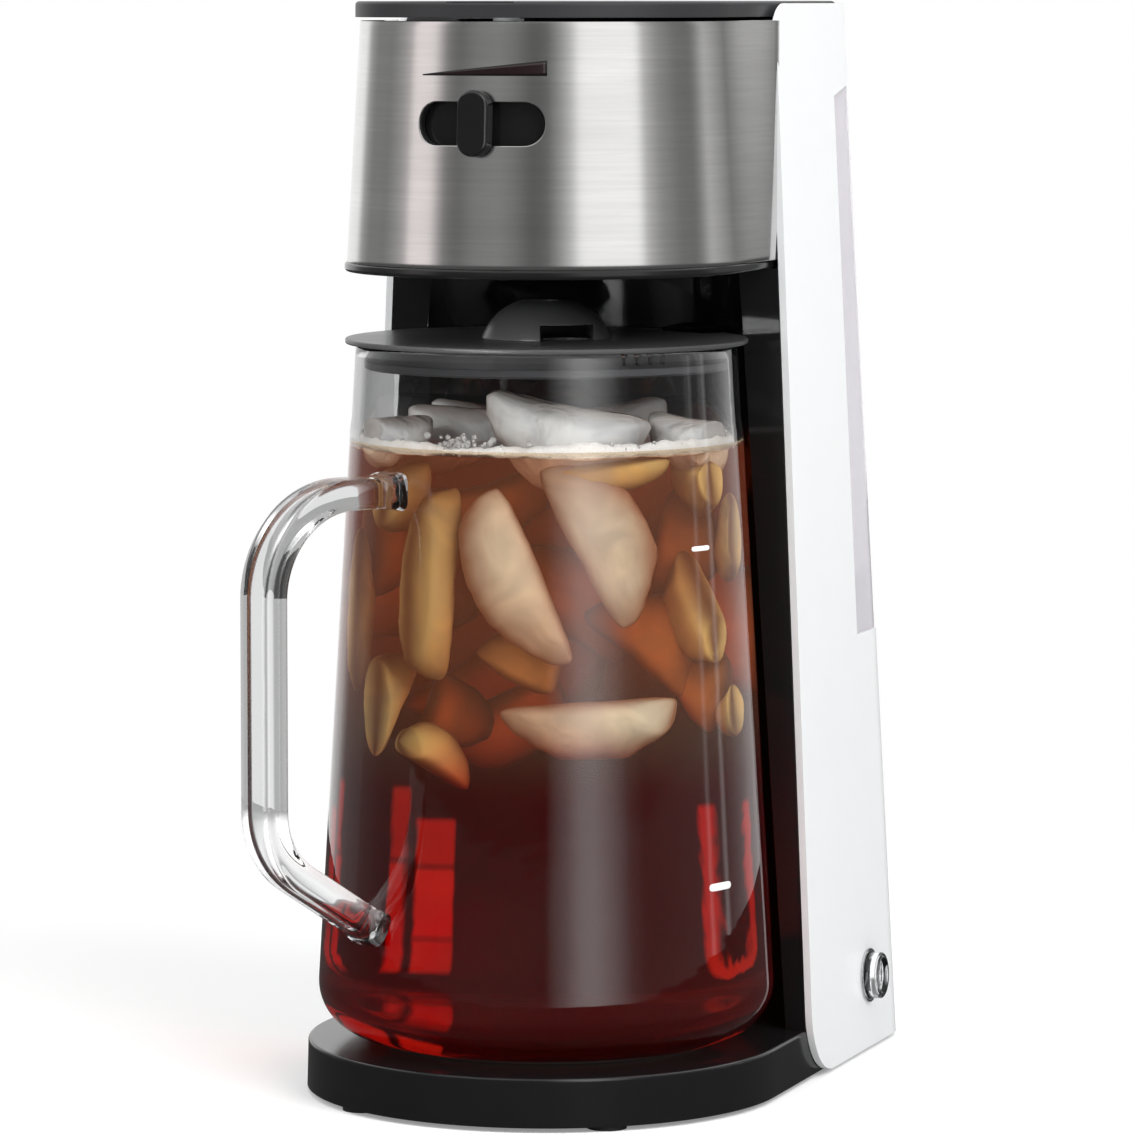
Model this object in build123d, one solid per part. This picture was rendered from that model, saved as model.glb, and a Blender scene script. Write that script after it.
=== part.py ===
from build123d import *
import os
from math import atan, cos, degrees, radians, sin, sqrt

os.makedirs("parts", exist_ok=True)

# An iced tea maker, in millimetres. The origin is on the common axis of jug, base and head, at the
# level of the table. +Z is up, -Y is the front, +X is the right-hand side as the user sees it.

# ---------------------------------------------------------------- driving dimensions
# Cutters
over = 1.0                   # how far a cutter runs past what it cuts
tip_share = 1.4              # tip of a sector's cutter, as a share of its reach
far = 200.0                  # beyond every piece, for cutters and half spaces
touch = 0.01                 # how near counts as touching
seat_gap = 0.3               # between curved faces that stand on each other or side by side
weld = 0.5                   # how deep joined shapes run into each other

# Jug
jug_radius_low = 71.3        # outside, where the wall meets the floor
jug_radius_rim = 58.6        # outside, at the rim
jug_height = 212.5
jug_wall = 2.6
jug_floor = 5.0
jug_corner = 16.0            # outer radius between wall and floor
lip_reach = 2.8              # how far the pour lip stands out of the rim
lip_drop = 24.0              # how far down the wall the lip starts
lip_radius_top = 15.0
lip_radius_low = 8.0
lip_sink = 0.4               # foot of the lip inside the wall's surface
handle_angle = -30.0         # from the front, negative to the left
handle_reach = 108.4         # axis to the middle of the grip
handle_thick = 10.0          # in the plane of the handle
handle_width = 14.0
handle_round = 3.2
handle_top_drop = 42.0       # rim to the middle of the upper arm
handle_bottom_rise = 39.0    # foot of the jug to the middle of the lower joint
handle_knee_rise = 64.0      # foot of the jug to the lower knee
handle_bend_top = 30.0
handle_bend_bottom = 25.0

# Jug lid
lid_overlap = 3.0            # plate radius beyond the jug's rim
lid_plate = 1.6
lid_lift = 0.2               # air between rim and plate
lid_edge_round = 0.5
collar_depth = 7.6
collar_wall = 2.0
collar_gap = 1.2             # collar to the inside of the jug
seal_height = 2.0
seal_gap = 0.35              # seal to the inside of the jug
notch_width = 30.0           # pour notch in the plate
notch_depth = 11.5
grip_radius = 19.8
grip_height = 11.3
grip_flat = 8.0
grip_shoulder_r = 0.77       # where the dome's side bends in, as shares of radius and height
grip_shoulder_h = 0.64
inlet_width = 17.0           # tea inlet through the grip
inlet_height = 4.6
inlet_turn = 25.0            # its direction, from the front
inlet_offset = 5.0
inlet_hole = 7.0
inlet_hole_shift = 8.0       # hole in the plate, along the passage from the axis
strainer_slots = 4
strainer_pitch = 4.5         # degrees between slots
strainer_turn = 52.0
strainer_slot_width = 2.0
strainer_slot_height = 2.6
strainer_drop = 1.5          # slots below the plate
seal_rise = 0.6              # seal above the collar's lower edge

# Base
foot_height = 1.5
foot_radius = 6.0
foot_inset = 7.0             # foot centre in from the base's edge
base_height = 14.9
base_margin = 2.3            # base radius beyond the jug's foot
base_draft = 0.4
base_wall = 2.2
base_edge_round = 1.0
rest_ring_radius = 50.0
rest_ring_width = 5.0
rest_ring_height = 1.4
jug_seat_gap = 0.2
cover_thick = 2.0
screw_radius = 3.2
screw_depth = 1.4
screw_inset = 22.0
screw_rear_share = 0.6       # rear screws, as a share of the way back to the rear feet
screw_boss_wall = 1.0
screw_clearance = 0.2
plug_clearance = 0.05        # foot plug and screw shank to their holes
foot_angle = 36.0            # front feet, from the front
cover_gap = 0.2

# Bay wall and outer shell
bay_gap = 3.4                # jug to bay wall
bay_wall = 2.5
bay_flange = 3.0
shell_wall = 2.2
shell_base_gap = 0.3         # shell to base
shell_lid_gap = 1.9          # shell to top lid
shell_front_y = 33.0
shell_top_drop = 0.7         # shell below the lid's top
shell_corner = 20.0          # rear corners, in plan
shell_front_low_round = 20.0
shell_front_top_round = 14.0
column_depth_low = 59.0      # bay wall to the outside of the back, at the base
column_depth_top = 57.0      # the same, at the head

# Head
headroom = 20.5              # jug lid to head
head_plate = 2.8
head_plate_lip = 0.7         # plate beyond the band
plate_edge_share = 0.35      # edge rounding of the head plate, as a share of its thickness
band_margin = 2.4            # band radius, at its foot, beyond the jug's rim
band_height = 73.2
band_taper = 4.3             # radius lost from foot to top
band_thick = 0.8
band_gap = 0.2
band_tuck = 6.0              # how far the band runs back behind the side panels' front edge
flange_gap = 0.5
housing_wall = 2.0
housing_top_drop = 2.0
ledge_drop = 8.8             # basket ledge below the band's top
ledge_thick = 2.0
ledge_width = 3.2
slot_half_angle = 20.0
slot_height = 12.9
slot_rise = 43.0             # slot centre above the foot of the band
pip_x = -13.8
pip_radius = 1.5
pip_drop = 3.4

# Strength slider
knob_width = 9.7
knob_height = 19.7
knob_proud = 5.6
knob_gap = 0.5               # knob to band
knob_round = 1.2
stem_width = 6.0
stem_height = 7.0
carriage_thick = 2.0
carriage_gap = 0.3
carriage_height = 16.5
carriage_spare = 2.0         # degrees of cover beyond the slot at full travel
slider_half_travel = 15.0    # degrees
valve_arm_width = 9.0
valve_arm_thick = 2.0
valve_gap = 3.4              # head plate to valve arm
shutter_radius = 9.0
shutter_hole_offset = 3.6

# Basket, filter and tea outlet
basket_gap = 0.6             # flange to housing
basket_margin = 3.0          # basket's wall to the inside of its ledge
basket_draft = 5.5
basket_depth = 52.0
basket_wall = 1.8
basket_flange = 2.0
basket_spout_radius = 6.0
outlet_bore = 3.5
filter_gap = 1.2
filter_wall = 1.2
filter_drop = 1.0            # filter's rim below the basket's
filter_windows = 10
filter_window_width = 20.0
filter_foot = 5.0            # solid wall below the windows
filter_rim = 6.0             # solid wall above them
filter_floor_hole = 10.5
outlet_radius = 9.5
outlet_flange = 2.6

# Top lid and hinge
top_gap = 1.0                # band to lid
top_overhang = 1.5
top_thick = 4.8
top_skin = 2.0
top_rim = 2.5
top_rear_gap = 1.2           # lid's rear edge to the bracket's barrels
top_round = 1.2
recess_half_angle = 10.7
recess_depth = 0.6
recess_reach = 6.0
hinge_pin_radius = 1.5
hinge_clearance = 0.06
hinge_barrel_radius = 2.9
hinge_back_gap = 7.5         # hinge axis to the inside of the back
knuckle_length = 12.0
knuckle_offset = 38.0        # middle of each knuckle from the centre
lug_length = 6.0
hinge_side_gap = 0.3
hinge_bar_gap = 0.6          # barrels to the bracket's bar
hinge_bar_rise = 3.0         # bar above the tank's rim
hinge_bar_over = 1.0         # bar's top above the hinge axis
lid_seal_inset = 6.0
lid_seal_width = 2.5
lid_seal_height = 2.0

# Water way
tank_height = 168.0
tank_wall = 2.0
tank_gap = 1.0               # tank to shell
tank_front_gap = 3.5         # tank to bay wall
tank_top_drop = 9.0          # tank's top below the lid's underside
strainer_radius = 7.0
strainer_height = 5.0
valve_radius = 7.0
valve_length = 16.0
nipple_radius = 3.0
valve_bore = 2.0
lead_radius = 1.1
lead_bend = 2.2
lead_rise = 3.0              # leads above the middle of the supply inlet
lead_near = 5.0              # from the heater's ends to each lead's drop
lead_far = 9.0
lead_run = 2.4               # from the leads' drop to the back of the inlet
hose_radius = 4.0
hose_bore = 2.6
riser_radius = 4.0
riser_bore = 2.8
arm_gap = 0.5                # arm and shower to what lies below
hub_drop = 1.3               # hub below the arm
riser_side_gap = 2.0
riser_back_gap = 0.5
riser_wall_gap = 1.0         # riser to the bay wall, beside the heater
riser_run = 10.0             # straight ends of the riser's rise
arm_hub_radius = 5.6
arm_radius = 2.9
arm_reach = 61.0
shower_radius = 12.0
shower_thick = 2.4
shower_holes = 6
shower_hole_radius = 1.0
shower_hole_circle = 7.0
arm_bore = 1.6
riser_into_arm = 4.0         # riser's end above the arm's underside
riser_end_gap = 0.3
riser_clearance = 0.06       # riser to the hub's bore
hub_cap = 0.6                # hub above the arm
riser_bend = 6.5
hose_bend = 13.0
heater_tube_radius = 6.0
heater_element_radius = 4.5
heater_leg = 62.0
saddle_offset = 15.0
saddle_width = 8.0
saddle_strip = 2.0
saddle_gap = 0.6             # to the bay wall
fuse_radius = 2.0
fuse_half_length = 9.0
fuse_gap = 0.05
thermostat_low = 5.0         # below and above the heater's axis
thermostat_high = 6.0
thermostat_gap = 0.5
heater_pitch = 28.0          # between the two legs
heater_height = 46.0         # above the base's top
heater_gap = 1.5             # to the bay wall
valve_inset = 14.8           # check valve in from the inside of the tank's side
chassis_wall = 3.0
chassis_gap = 0.8            # shelf and legs to the shell
leg_front = 5.0              # legs before and behind the check valve's axis
leg_rear = 10.0
hole_gap = 0.4               # loose holes that pipes pass through
window_low_drop = 19.0       # window's lower edge below the tank's floor
window_top_drop = 13.0       # window's upper edge below the tank's rim
window_front_y_low = 93.5
window_front_y_top = 89.0
window_back_x = 32.0
window_chamfer_drop = 3.0    # sloping corner at the window's upper front
window_chamfer_run = 13.0
window_sink = 0.5
window_thick = 1.4
window_gap = 0.15

# Button, switch and supply
button_y = 92.7
button_z = 24.5
bezel_radius = 8.6
bezel_width = 0.9
bezel_proud = 0.7
button_gap = 0.3             # button to bezel
button_proud = 4.8
button_dish = 1.2
button_round = 0.8
button_flange = 1.2
button_travel = 1.6
button_skirt = 6.0
spring_turns = 4
spring_radius = 4.6
spring_wire = 0.35
spring_length = 6.0
switch_gap = 0.6             # switch to the pressed button
spring_gap = 0.1
button_dish_share = 0.8      # dish radius as a share of the button's
button_face = 2.6            # thickness of the clear face over the spring well
spring_well_gap = 0.3
flange_lip = 2.0             # hidden flange beyond the button
bezel_seat = 0.02
bezel_skirt_gap = 0.03
switch_size = 16.0
switch_depth = 15.0
lamp_radius = 2.5
lamp_height = 4.0
inlet_x = -38.0
inlet_z = 34.0
inlet_size = 20.0
inlet_rise = 14.0
inlet_depth = 14.0
socket_wall = 3.0
socket_gap = 0.1             # socket to its hole in the back
socket_sink = 0.6            # socket's face behind the back's surface
pin_radius = 1.2
pin_offset = 4.0
pin_sink = 1.4               # pins' ends behind the socket's face
terminal_x = 1.0
terminal_length = 26.0
terminal_size = 12.0
terminal_depth = 10.0
terminal_gap = 2.0           # to the heater

# ---------------------------------------------------------------- levels and radii that follow
base_low = foot_height
base_top = base_low + base_height
jug_low = base_top + rest_ring_height + jug_seat_gap
rim_z = jug_low + jug_height
plate_low = rim_z + lid_lift
plate_top = plate_low + lid_plate
head_low = plate_top + headroom
band_low = head_low + head_plate
band_top = band_low + band_height
top_low = band_top + top_gap
top_high = top_low + top_thick
shell_top = top_high - shell_top_drop
ledge_top = band_top - ledge_drop
tank_top = top_low - tank_top_drop
tank_low = tank_top - tank_height
slot_z = band_low + slot_rise
hinge_z = top_high - hinge_barrel_radius


def line(z, z0, v0, z1, v1):
    """Value at z of the straight line through (z0, v0) and (z1, v1)."""
    return v0 + (v1 - v0) * (z - z0) / (z1 - z0)


def jug_r(z):
    """Outer radius of the jug's straight wall, carried on above and below it."""
    return line(z, jug_low, jug_radius_low, rim_z, jug_radius_rim)


def bay_r(z):
    """Inner radius of the bay wall."""
    return jug_r(z) + bay_gap


band_r_low = jug_radius_rim + band_margin
band_r_top = band_r_low - band_taper
plate_r = jug_radius_rim + lid_overlap
base_r_top = jug_radius_low + base_margin
base_r_low = base_r_top + base_draft
top_r = band_r_top + top_overhang
shell_hw_low = base_r_low + shell_base_gap + shell_wall
shell_hw_top = top_r + shell_lid_gap + shell_wall
shell_rear_low = bay_r(base_low) + bay_wall + column_depth_low
shell_rear_top = bay_r(head_low) + bay_wall + column_depth_top


def band_r(z):
    """Outer radius of the steel band."""
    return line(z, band_low, band_r_low, band_top, band_r_top)


def housing_r(z):
    """Outer radius of the head housing, behind the band."""
    return band_r(z) - band_thick - band_gap


def shell_hw(z):
    """Outer half width of the shell."""
    return line(z, base_low, shell_hw_low, shell_top, shell_hw_top)


def shell_rear(z):
    """Y of the outside of the shell's back."""
    return line(z, base_low, shell_rear_low, shell_top, shell_rear_top)


housing_back_y = bay_r(tank_low) + bay_wall + chassis_gap
tank_front_y = bay_r(tank_low) + bay_wall + tank_front_gap
pieces = {}


# ---------------------------------------------------------------- shapes used more than once
def level(z):
    """Horizontal plane at height z."""
    return Plane.XY.offset(z)


def slab(x0, x1, y0, y1, z0, z1):
    """Block between two corners."""
    return Pos((x0 + x1) / 2, (y0 + y1) / 2, (z0 + z1) / 2) * Box(x1 - x0, y1 - y0, z1 - z0)


def disc(radius, z0, z1, x=0.0, y=0.0):
    """Upright cylinder between two heights."""
    return Pos(x, y, (z0 + z1) / 2) * Cylinder(radius, z1 - z0)


def ring(outer, inner, z0, z1, x=0.0, y=0.0):
    """Upright tube between two heights."""
    return disc(outer, z0, z1, x, y) - disc(inner, z0 - over, z1 + over, x, y)


def frustum(r0, r1, z0, z1):
    """Upright truncated cone about the common axis."""
    return Pos(0, 0, (z0 + z1) / 2) * Cone(r0, r1, z1 - z0)


def u_face(half_width, rear, corner=0.0):
    """Plan of head and base: a half circle at the front, straight sides to the rear."""
    outline = [
        ThreePointArc((-half_width, 0), (0, -half_width), (half_width, 0)),
        Line((half_width, 0), (half_width, rear)),
        Line((half_width, rear), (-half_width, rear)),
        Line((-half_width, rear), (-half_width, 0)),
    ]
    face = make_face(outline)
    if corner > 0:
        rear_corners = face.vertices().filter_by(lambda v: v.Y > rear - touch)
        face = fillet(rear_corners, corner)
    return face


def u_solid(hw0, z0, hw1, z1, rear, corner=0.0):
    """Tapered solid on the U plan."""
    return loft([level(z0) * u_face(hw0, rear, corner), level(z1) * u_face(hw1, rear, corner)], ruled=True)


def back_face(z, inset, front):
    """Plan of the column inside the shell: straight sides, rounded rear corners."""
    half = shell_hw(z) - inset
    rear = shell_rear(z) - inset
    face = make_face(Polyline((-half, front), (half, front), (half, rear), (-half, rear), close=True))
    rear_corners = face.vertices().filter_by(lambda v: v.Y > rear - touch)
    return fillet(rear_corners, shell_corner - inset)


def back_solid(z0, z1, inset, front):
    """Tapered solid that follows the shell at a given inset."""
    ends = [level(z) * back_face(z, inset, front) for z in (z0, z1)]
    return loft(ends, ruled=True)


def wedge_sector(half_angle, reach, z0, z1):
    """Upright sector about the axis, symmetric about the front."""
    a = radians(half_angle)
    face = make_face(Polyline((0, 0), (reach * sin(a), -reach * cos(a)), (0, -tip_share * reach),
                              (-reach * sin(a), -reach * cos(a)), close=True))
    return extrude(level(z0) * face, z1 - z0)


def turned(angle, shape):
    """Shape made at the front, turned about the axis; positive goes to the right."""
    return Rot(0, 0, angle) * shape


def on_circle(radius, angle):
    """Point at a radius and an angle from the front."""
    return radius * sin(radians(angle)), -radius * cos(radians(angle))


def stadium_through(half_angle, height, z, reach):
    """Cutter for a slot with round ends that runs round the front of the band."""
    radius = height / 2
    end_angle = half_angle - degrees(radius / band_r(z))
    body = wedge_sector(end_angle, reach, z - radius, z + radius)
    ends = [turned(s * end_angle, Pos(0, -reach / 2, z) * Rot(90, 0, 0) * Cylinder(radius, reach))
            for s in (-1, 1)]
    return body + ends[0] + ends[1]


def tube(path, outer, inner):
    """Round pipe along a path."""
    start = Plane(path @ 0, z_dir=path % 0)
    solid = sweep(start * Circle(outer), path)
    return solid if inner <= 0 else solid - sweep(start * Circle(inner), path)


# ---------------------------------------------------------------- jug
def revolved_cup(r_low, r_high, z0, z1, corner):
    """Solid of revolution of a tapered cup with a rounded foot."""
    face = make_face(Polyline((0, z0), (r_low, z0), (r_high, z1), (0, z1), close=True))
    foot = face.vertices().filter_by(lambda v: v.X > r_low - touch and v.Y < z0 + touch)
    face = fillet(foot, corner)
    return revolve(Plane.XZ * face, Axis.Z)


def lip_solid(inset, overshoot):
    """Slanted cone of the pour lip, at the front; it is turned to its place later."""
    z0 = rim_z - lip_drop
    r0 = lip_radius_low - inset
    r1 = lip_radius_top - inset
    y0 = -(jug_r(z0) - lip_radius_low - lip_sink)
    y1 = -(jug_radius_rim + lip_reach - lip_radius_top)
    y2 = line(rim_z + overshoot, z0, y0, rim_z, y1)
    r2 = line(rim_z + overshoot, z0, r0, rim_z, r1)
    return loft([level(z0) * Pos(0, y0) * Circle(r0), level(rim_z + overshoot) * Pos(0, y2) * Circle(r2)])


lip_angle = handle_angle + 180
inner_low = jug_low + jug_floor
jug_outside = revolved_cup(jug_radius_low, jug_radius_rim, jug_low, rim_z, jug_corner)
jug_inside = revolved_cup(jug_r(inner_low) - jug_wall, jug_r(rim_z + over) - jug_wall, inner_low, rim_z + over,
                          jug_corner - jug_wall)
jug_body = jug_outside + turned(lip_angle, lip_solid(0, 0))
jug_body -= jug_inside
jug_body -= turned(lip_angle, lip_solid(jug_wall, over))
pieces["glass_jug"] = jug_body


def make_handle():
    """Strap of glass that leaves the wall level, turns down, and comes back on a slope."""
    z_top = rim_z - handle_top_drop
    z_knee = jug_low + handle_knee_rise
    z_foot = jug_low + handle_bottom_rise
    start = jug_r(z_top) - jug_wall
    end = jug_r(z_foot) - jug_wall
    slope = (z_knee - z_foot) / (handle_reach - jug_r(z_foot))
    path = FilletPolyline((0, -start, z_top), (0, -handle_reach, z_top), (0, -handle_reach, z_knee),
                          (0, -end, z_foot - slope * jug_wall),
                          radius=[handle_bend_top, handle_bend_bottom])
    section = Plane(path @ 0, x_dir=(1, 0, 0), z_dir=path % 0) * RectangleRounded(
        handle_width, handle_thick, handle_round)
    strap = sweep(section, path)
    return turned(handle_angle, strap - jug_outside)


pieces["jug_handle"] = make_handle()


# ---------------------------------------------------------------- jug lid
def make_lid_plate():
    """Flat plate with the pour notch opposite the handle and the tea inlet under the grip."""
    plate = disc(plate_r, plate_low, plate_top)
    plate = fillet(plate.edges().filter_by(GeomType.CIRCLE), lid_edge_round)
    notch = slab(-notch_width / 2, notch_width / 2, -plate_r - over, -plate_r + notch_depth,
                 plate_low - over, plate_top + over)
    plate -= turned(lip_angle, notch)
    hx, hy = on_circle(inlet_hole_shift, inlet_turn)
    side_x, side_y = on_circle(inlet_offset, inlet_turn + 90)
    return plate - disc(inlet_hole, plate_low - over, plate_top + over, hx + side_x, hy + side_y)


def make_grip():
    """Low dome with a flat top; a low passage through it lets the tea in."""
    arc = ThreePointArc((grip_radius, 0), (grip_shoulder_r * grip_radius, grip_shoulder_h * grip_height),
                        (grip_flat, grip_height))
    face = make_face([arc, Line((grip_flat, grip_height), (0, grip_height)), Line((0, grip_height), (0, 0)),
                      Line((0, 0), (grip_radius, 0))])
    dome = Pos(0, 0, plate_top) * revolve(Plane.XZ * face, Axis.Z)
    passage = slab(inlet_offset - inlet_width / 2, inlet_offset + inlet_width / 2,
                   -grip_radius - over, grip_radius + over, plate_top - over, plate_top + inlet_height)
    dome -= turned(inlet_turn, passage)
    return dome - disc(outlet_bore, plate_top, plate_top + grip_height + over)


def make_collar():
    """Skirt that centres the lid in the jug, with a row of strainer slots."""
    outer = jug_radius_rim - jug_wall - collar_gap
    collar = ring(outer, outer - collar_wall, plate_low - collar_depth, plate_low)
    slot_top = plate_low - strainer_drop
    for i in range(strainer_slots):
        angle = strainer_turn + (i - (strainer_slots - 1) / 2) * strainer_pitch
        for turn in (angle, angle + lip_angle - strainer_turn):
            collar -= turned(turn, slab(-strainer_slot_width / 2, strainer_slot_width / 2, -outer - over,
                                        -outer + collar_wall + over, slot_top - strainer_slot_height, slot_top))
    return collar


collar_r = jug_radius_rim - jug_wall - collar_gap
seal_low = plate_low - collar_depth + seal_rise
pieces["jug_lid_plate"] = make_lid_plate()
pieces["jug_lid_grip"] = make_grip()
pieces["jug_lid_collar"] = make_collar()
pieces["jug_lid_seal"] = ring(collar_r + collar_gap - seal_gap, collar_r, seal_low, seal_low + seal_height)


# ---------------------------------------------------------------- base
def base_face(z, inset):
    """Plan of the base: half circle, straight sides, rear corners that fit inside the shell."""
    half = line(z, base_low, base_r_low, base_top, base_r_top) - inset
    corner = shell_corner - shell_wall - shell_base_gap - inset
    rear = shell_rear(z) - shell_wall - shell_base_gap - inset
    return u_face(half, rear, corner)


def base_solid(z0, z1, inset):
    """Tapered solid on the base's plan."""
    return loft([level(z0) * base_face(z0, inset), level(z1) * base_face(z1, inset)], ruled=True)


foot_r = base_r_low - foot_inset
rear_foot_y = shell_rear(base_low) - screw_inset
foot_places = [on_circle(foot_r, a) for a in (-foot_angle, foot_angle)]
foot_places += [(x, rear_foot_y) for x in (-base_r_low + screw_inset, base_r_low - screw_inset)]
screw_places = [(x, y) for x in (-base_r_low + screw_inset, base_r_low - screw_inset)
                for y in (0, screw_rear_share * rear_foot_y)]


def make_base_shell():
    """Open-bottomed moulding with four screw bosses under its top."""
    shell = base_solid(base_low, base_top, 0)
    rim = shell.edges().filter_by(lambda e: abs(e.center().Z - base_top) < touch)
    shell = fillet(rim, base_edge_round)
    shell -= base_solid(base_low - over, base_top - base_wall, base_wall)
    for x, y in screw_places:
        shell += disc(screw_radius + screw_boss_wall, base_low + cover_thick, base_top - base_wall, x, y)
        shell -= disc(screw_radius / 2, base_low, base_top - base_wall, x, y)
    return shell


def make_base_cover():
    """Plate that closes the base from below, with plug holes for the feet and sunk screw heads."""
    cover = base_solid(base_low, base_low + cover_thick, base_wall + cover_gap)
    for x, y in foot_places:
        cover -= disc(foot_radius / 2, base_low - over, base_low + cover_thick + over, x, y)
    for x, y in screw_places:
        cover -= disc(screw_radius + screw_clearance, base_low - over, base_low + screw_depth, x, y)
        cover -= disc(screw_radius / 2 + screw_clearance, base_low, base_low + cover_thick + over, x, y)
    return cover


def make_screws():
    """Pan head and shank of each cover screw."""
    shank_top = base_top - base_wall - over
    return [disc(screw_radius, base_low, base_low + screw_depth, x, y)
            + disc(screw_radius / 2 - plug_clearance, base_low, shank_top, x, y) for x, y in screw_places]


def make_feet():
    """Rubber discs, each with a plug through the cover."""
    return [disc(foot_radius, 0, base_low, x, y)
            + disc(foot_radius / 2 - plug_clearance, 0, base_low + cover_thick, x, y) for x, y in foot_places]


pieces["base_shell"] = make_base_shell()
pieces["base_cover"] = make_base_cover()
pieces["base_screws"] = Compound(make_screws())
pieces["rubber_feet"] = Compound(make_feet())
pieces["rest_ring"] = ring(rest_ring_radius, rest_ring_radius - rest_ring_width, base_top,
                           base_top + rest_ring_height)


# ---------------------------------------------------------------- column and shell
shell_slope = (shell_hw_low - shell_hw_top) / (shell_top - base_low)
button_origin = (shell_hw(button_z), button_y, button_z)
button_plane = Plane(button_origin, x_dir=(0, 1, 0), z_dir=(1, 0, shell_slope))
button_r = bezel_radius - bezel_width - button_gap
window_low = tank_low - window_low_drop
window_top = tank_top - window_top_drop
inlet_y = shell_rear(inlet_z)


def out_of_panel(radius, d0, d1):
    """Cylinder square to the right panel at the button, between two distances from its surface."""
    return button_plane * Pos(0, 0, (d0 + d1) / 2) * Cylinder(radius, d1 - d0)


def window_cutter(inset):
    """Region of the rear right corner that the window fills."""
    z0, z1 = window_low + inset, window_top - inset
    y0, y1 = window_front_y_low + inset, window_front_y_top + inset
    reach = shell_rear_low + over
    side = make_face(Polyline((y0, z0), (y1, z1 - window_chamfer_drop), (y1 + window_chamfer_run, z1),
                              (reach, z1), (reach, z0), close=True))
    x0 = window_back_x + inset
    return extrude(Plane(origin=(x0, 0, 0), x_dir=(0, 1, 0), z_dir=(1, 0, 0)) * side, shell_hw_low)


def make_outer_shell():
    """White moulding: two flared side panels joined by the back, open to the front and above."""
    shell = back_solid(base_low, shell_top, 0, shell_front_y - over)
    shell -= back_solid(base_low - over, shell_top + over, shell_wall, shell_front_y - 2 * over)
    reach = shell_rear_low + over
    side = make_face(Polyline((shell_front_y, base_low), (reach, base_low), (reach, shell_top),
                              (shell_front_y, shell_top), close=True))
    low_corner = side.vertices().filter_by(lambda v: v.X < shell_front_y + touch and v.Y < base_low + touch)
    side = fillet(low_corner, shell_front_low_round)
    top_corner = side.vertices().filter_by(lambda v: v.X < shell_front_y + touch and v.Y > shell_top - touch)
    side = fillet(top_corner, shell_front_top_round)
    side_plane = Plane(origin=(-shell_hw_low - over, 0, 0), x_dir=(0, 1, 0), z_dir=(1, 0, 0))
    shell = shell & extrude(side_plane * side, 2 * (shell_hw_low + over))
    shell -= window_cutter(0)
    shell -= out_of_panel(button_r + button_gap + bezel_width / 2, -4 * shell_wall, shell_wall)
    return shell - slab(inlet_x - inlet_size / 2, inlet_x + inlet_size / 2, inlet_y - inlet_depth,
                        inlet_y + inlet_depth, inlet_z - inlet_rise / 2, inlet_z + inlet_rise / 2)


def make_bay_wall():
    """Hollow half cone behind the jug with a flange that meets each side panel."""
    front = shell_front_y + seat_gap
    outer = frustum(bay_r(base_top) + bay_wall, bay_r(head_low) + bay_wall, base_top, head_low)
    inner = frustum(bay_r(base_top - over), bay_r(head_low + over), base_top - over, head_low + over)
    keep = slab(-far, far, front, far, base_top, head_low)
    flanges = back_solid(base_top, head_low, shell_wall + shell_base_gap, front)
    flanges = flanges & slab(-far, far, front, front + bay_flange, base_top, head_low)
    return (outer & keep) + flanges - inner


def make_chassis():
    """Shelf that carries the tank, on two legs that stand on the base."""
    inset = shell_wall + chassis_gap
    shelf_low = tank_low - chassis_wall
    shelf = back_solid(shelf_low, tank_low, inset, tank_front_y)
    legs = back_solid(base_top, shelf_low, inset, tank_front_y)
    legs -= back_solid(base_top - over, shelf_low + over, inset + chassis_wall, tank_front_y - over)
    legs = legs & slab(-far, far, valve_y - leg_front, valve_y + leg_rear, base_top, shelf_low)
    return shelf + legs - disc(nipple_radius + hole_gap, shelf_low - over, tank_low + over, valve_x, valve_y)


def make_tank():
    """Open-topped container that follows the shell."""
    inset = shell_wall + tank_gap
    tank = back_solid(tank_low, tank_top, inset, tank_front_y)
    tank -= back_solid(tank_low + tank_wall, tank_top + over, inset + tank_wall, tank_front_y + tank_wall)
    hole_r = nipple_radius + plug_clearance
    return tank - disc(hole_r, tank_low - over, tank_low + tank_wall + over, valve_x, valve_y)


heater_z = base_top + heater_height
heater_front_y = bay_r(heater_z) + bay_wall + heater_tube_radius + heater_gap
heater_back_y = heater_front_y + heater_pitch
heater_end_x = -heater_leg / 2
valve_x = -(shell_hw(tank_low) - shell_wall - tank_gap - tank_wall - valve_inset)
valve_y = heater_back_y
pieces["outer_shell"] = make_outer_shell()
pieces["bay_wall"] = make_bay_wall()
pieces["inner_chassis"] = make_chassis()
pieces["water_tank"] = make_tank()
window_outer = back_solid(window_low - over, window_top + over, window_sink, shell_front_y)
window_inner = back_solid(window_low - 2 * over, window_top + 2 * over, window_sink + window_thick,
                          shell_front_y - over)
pieces["water_window"] = (window_outer - window_inner) & window_cutter(window_gap)

# ---------------------------------------------------------------- head
housing_top = band_top - housing_top_drop
band_rear_y = shell_front_y + band_tuck
arm_low = ledge_top + basket_flange + arm_gap
hub_low = arm_low - hub_drop
housing_rear_top = hub_low - arm_gap
riser_x = -(housing_r(band_top) - housing_wall - riser_radius - riser_side_gap)
riser_y = housing_back_y - housing_wall - riser_radius - riser_back_gap


def make_band():
    """Tapered steel sheet round the front of the head, with the slider's slot."""
    band = u_solid(band_r_low, band_low, band_r_top, band_top, band_rear_y)
    low_inner = band_r(band_low - over) - band_thick
    top_inner = band_r(band_top + over) - band_thick
    band -= u_solid(low_inner, band_low - over, top_inner, band_top + over, band_rear_y + over)
    return band - stadium_through(slot_half_angle, slot_height, slot_z, band_r_low + over)


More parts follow.
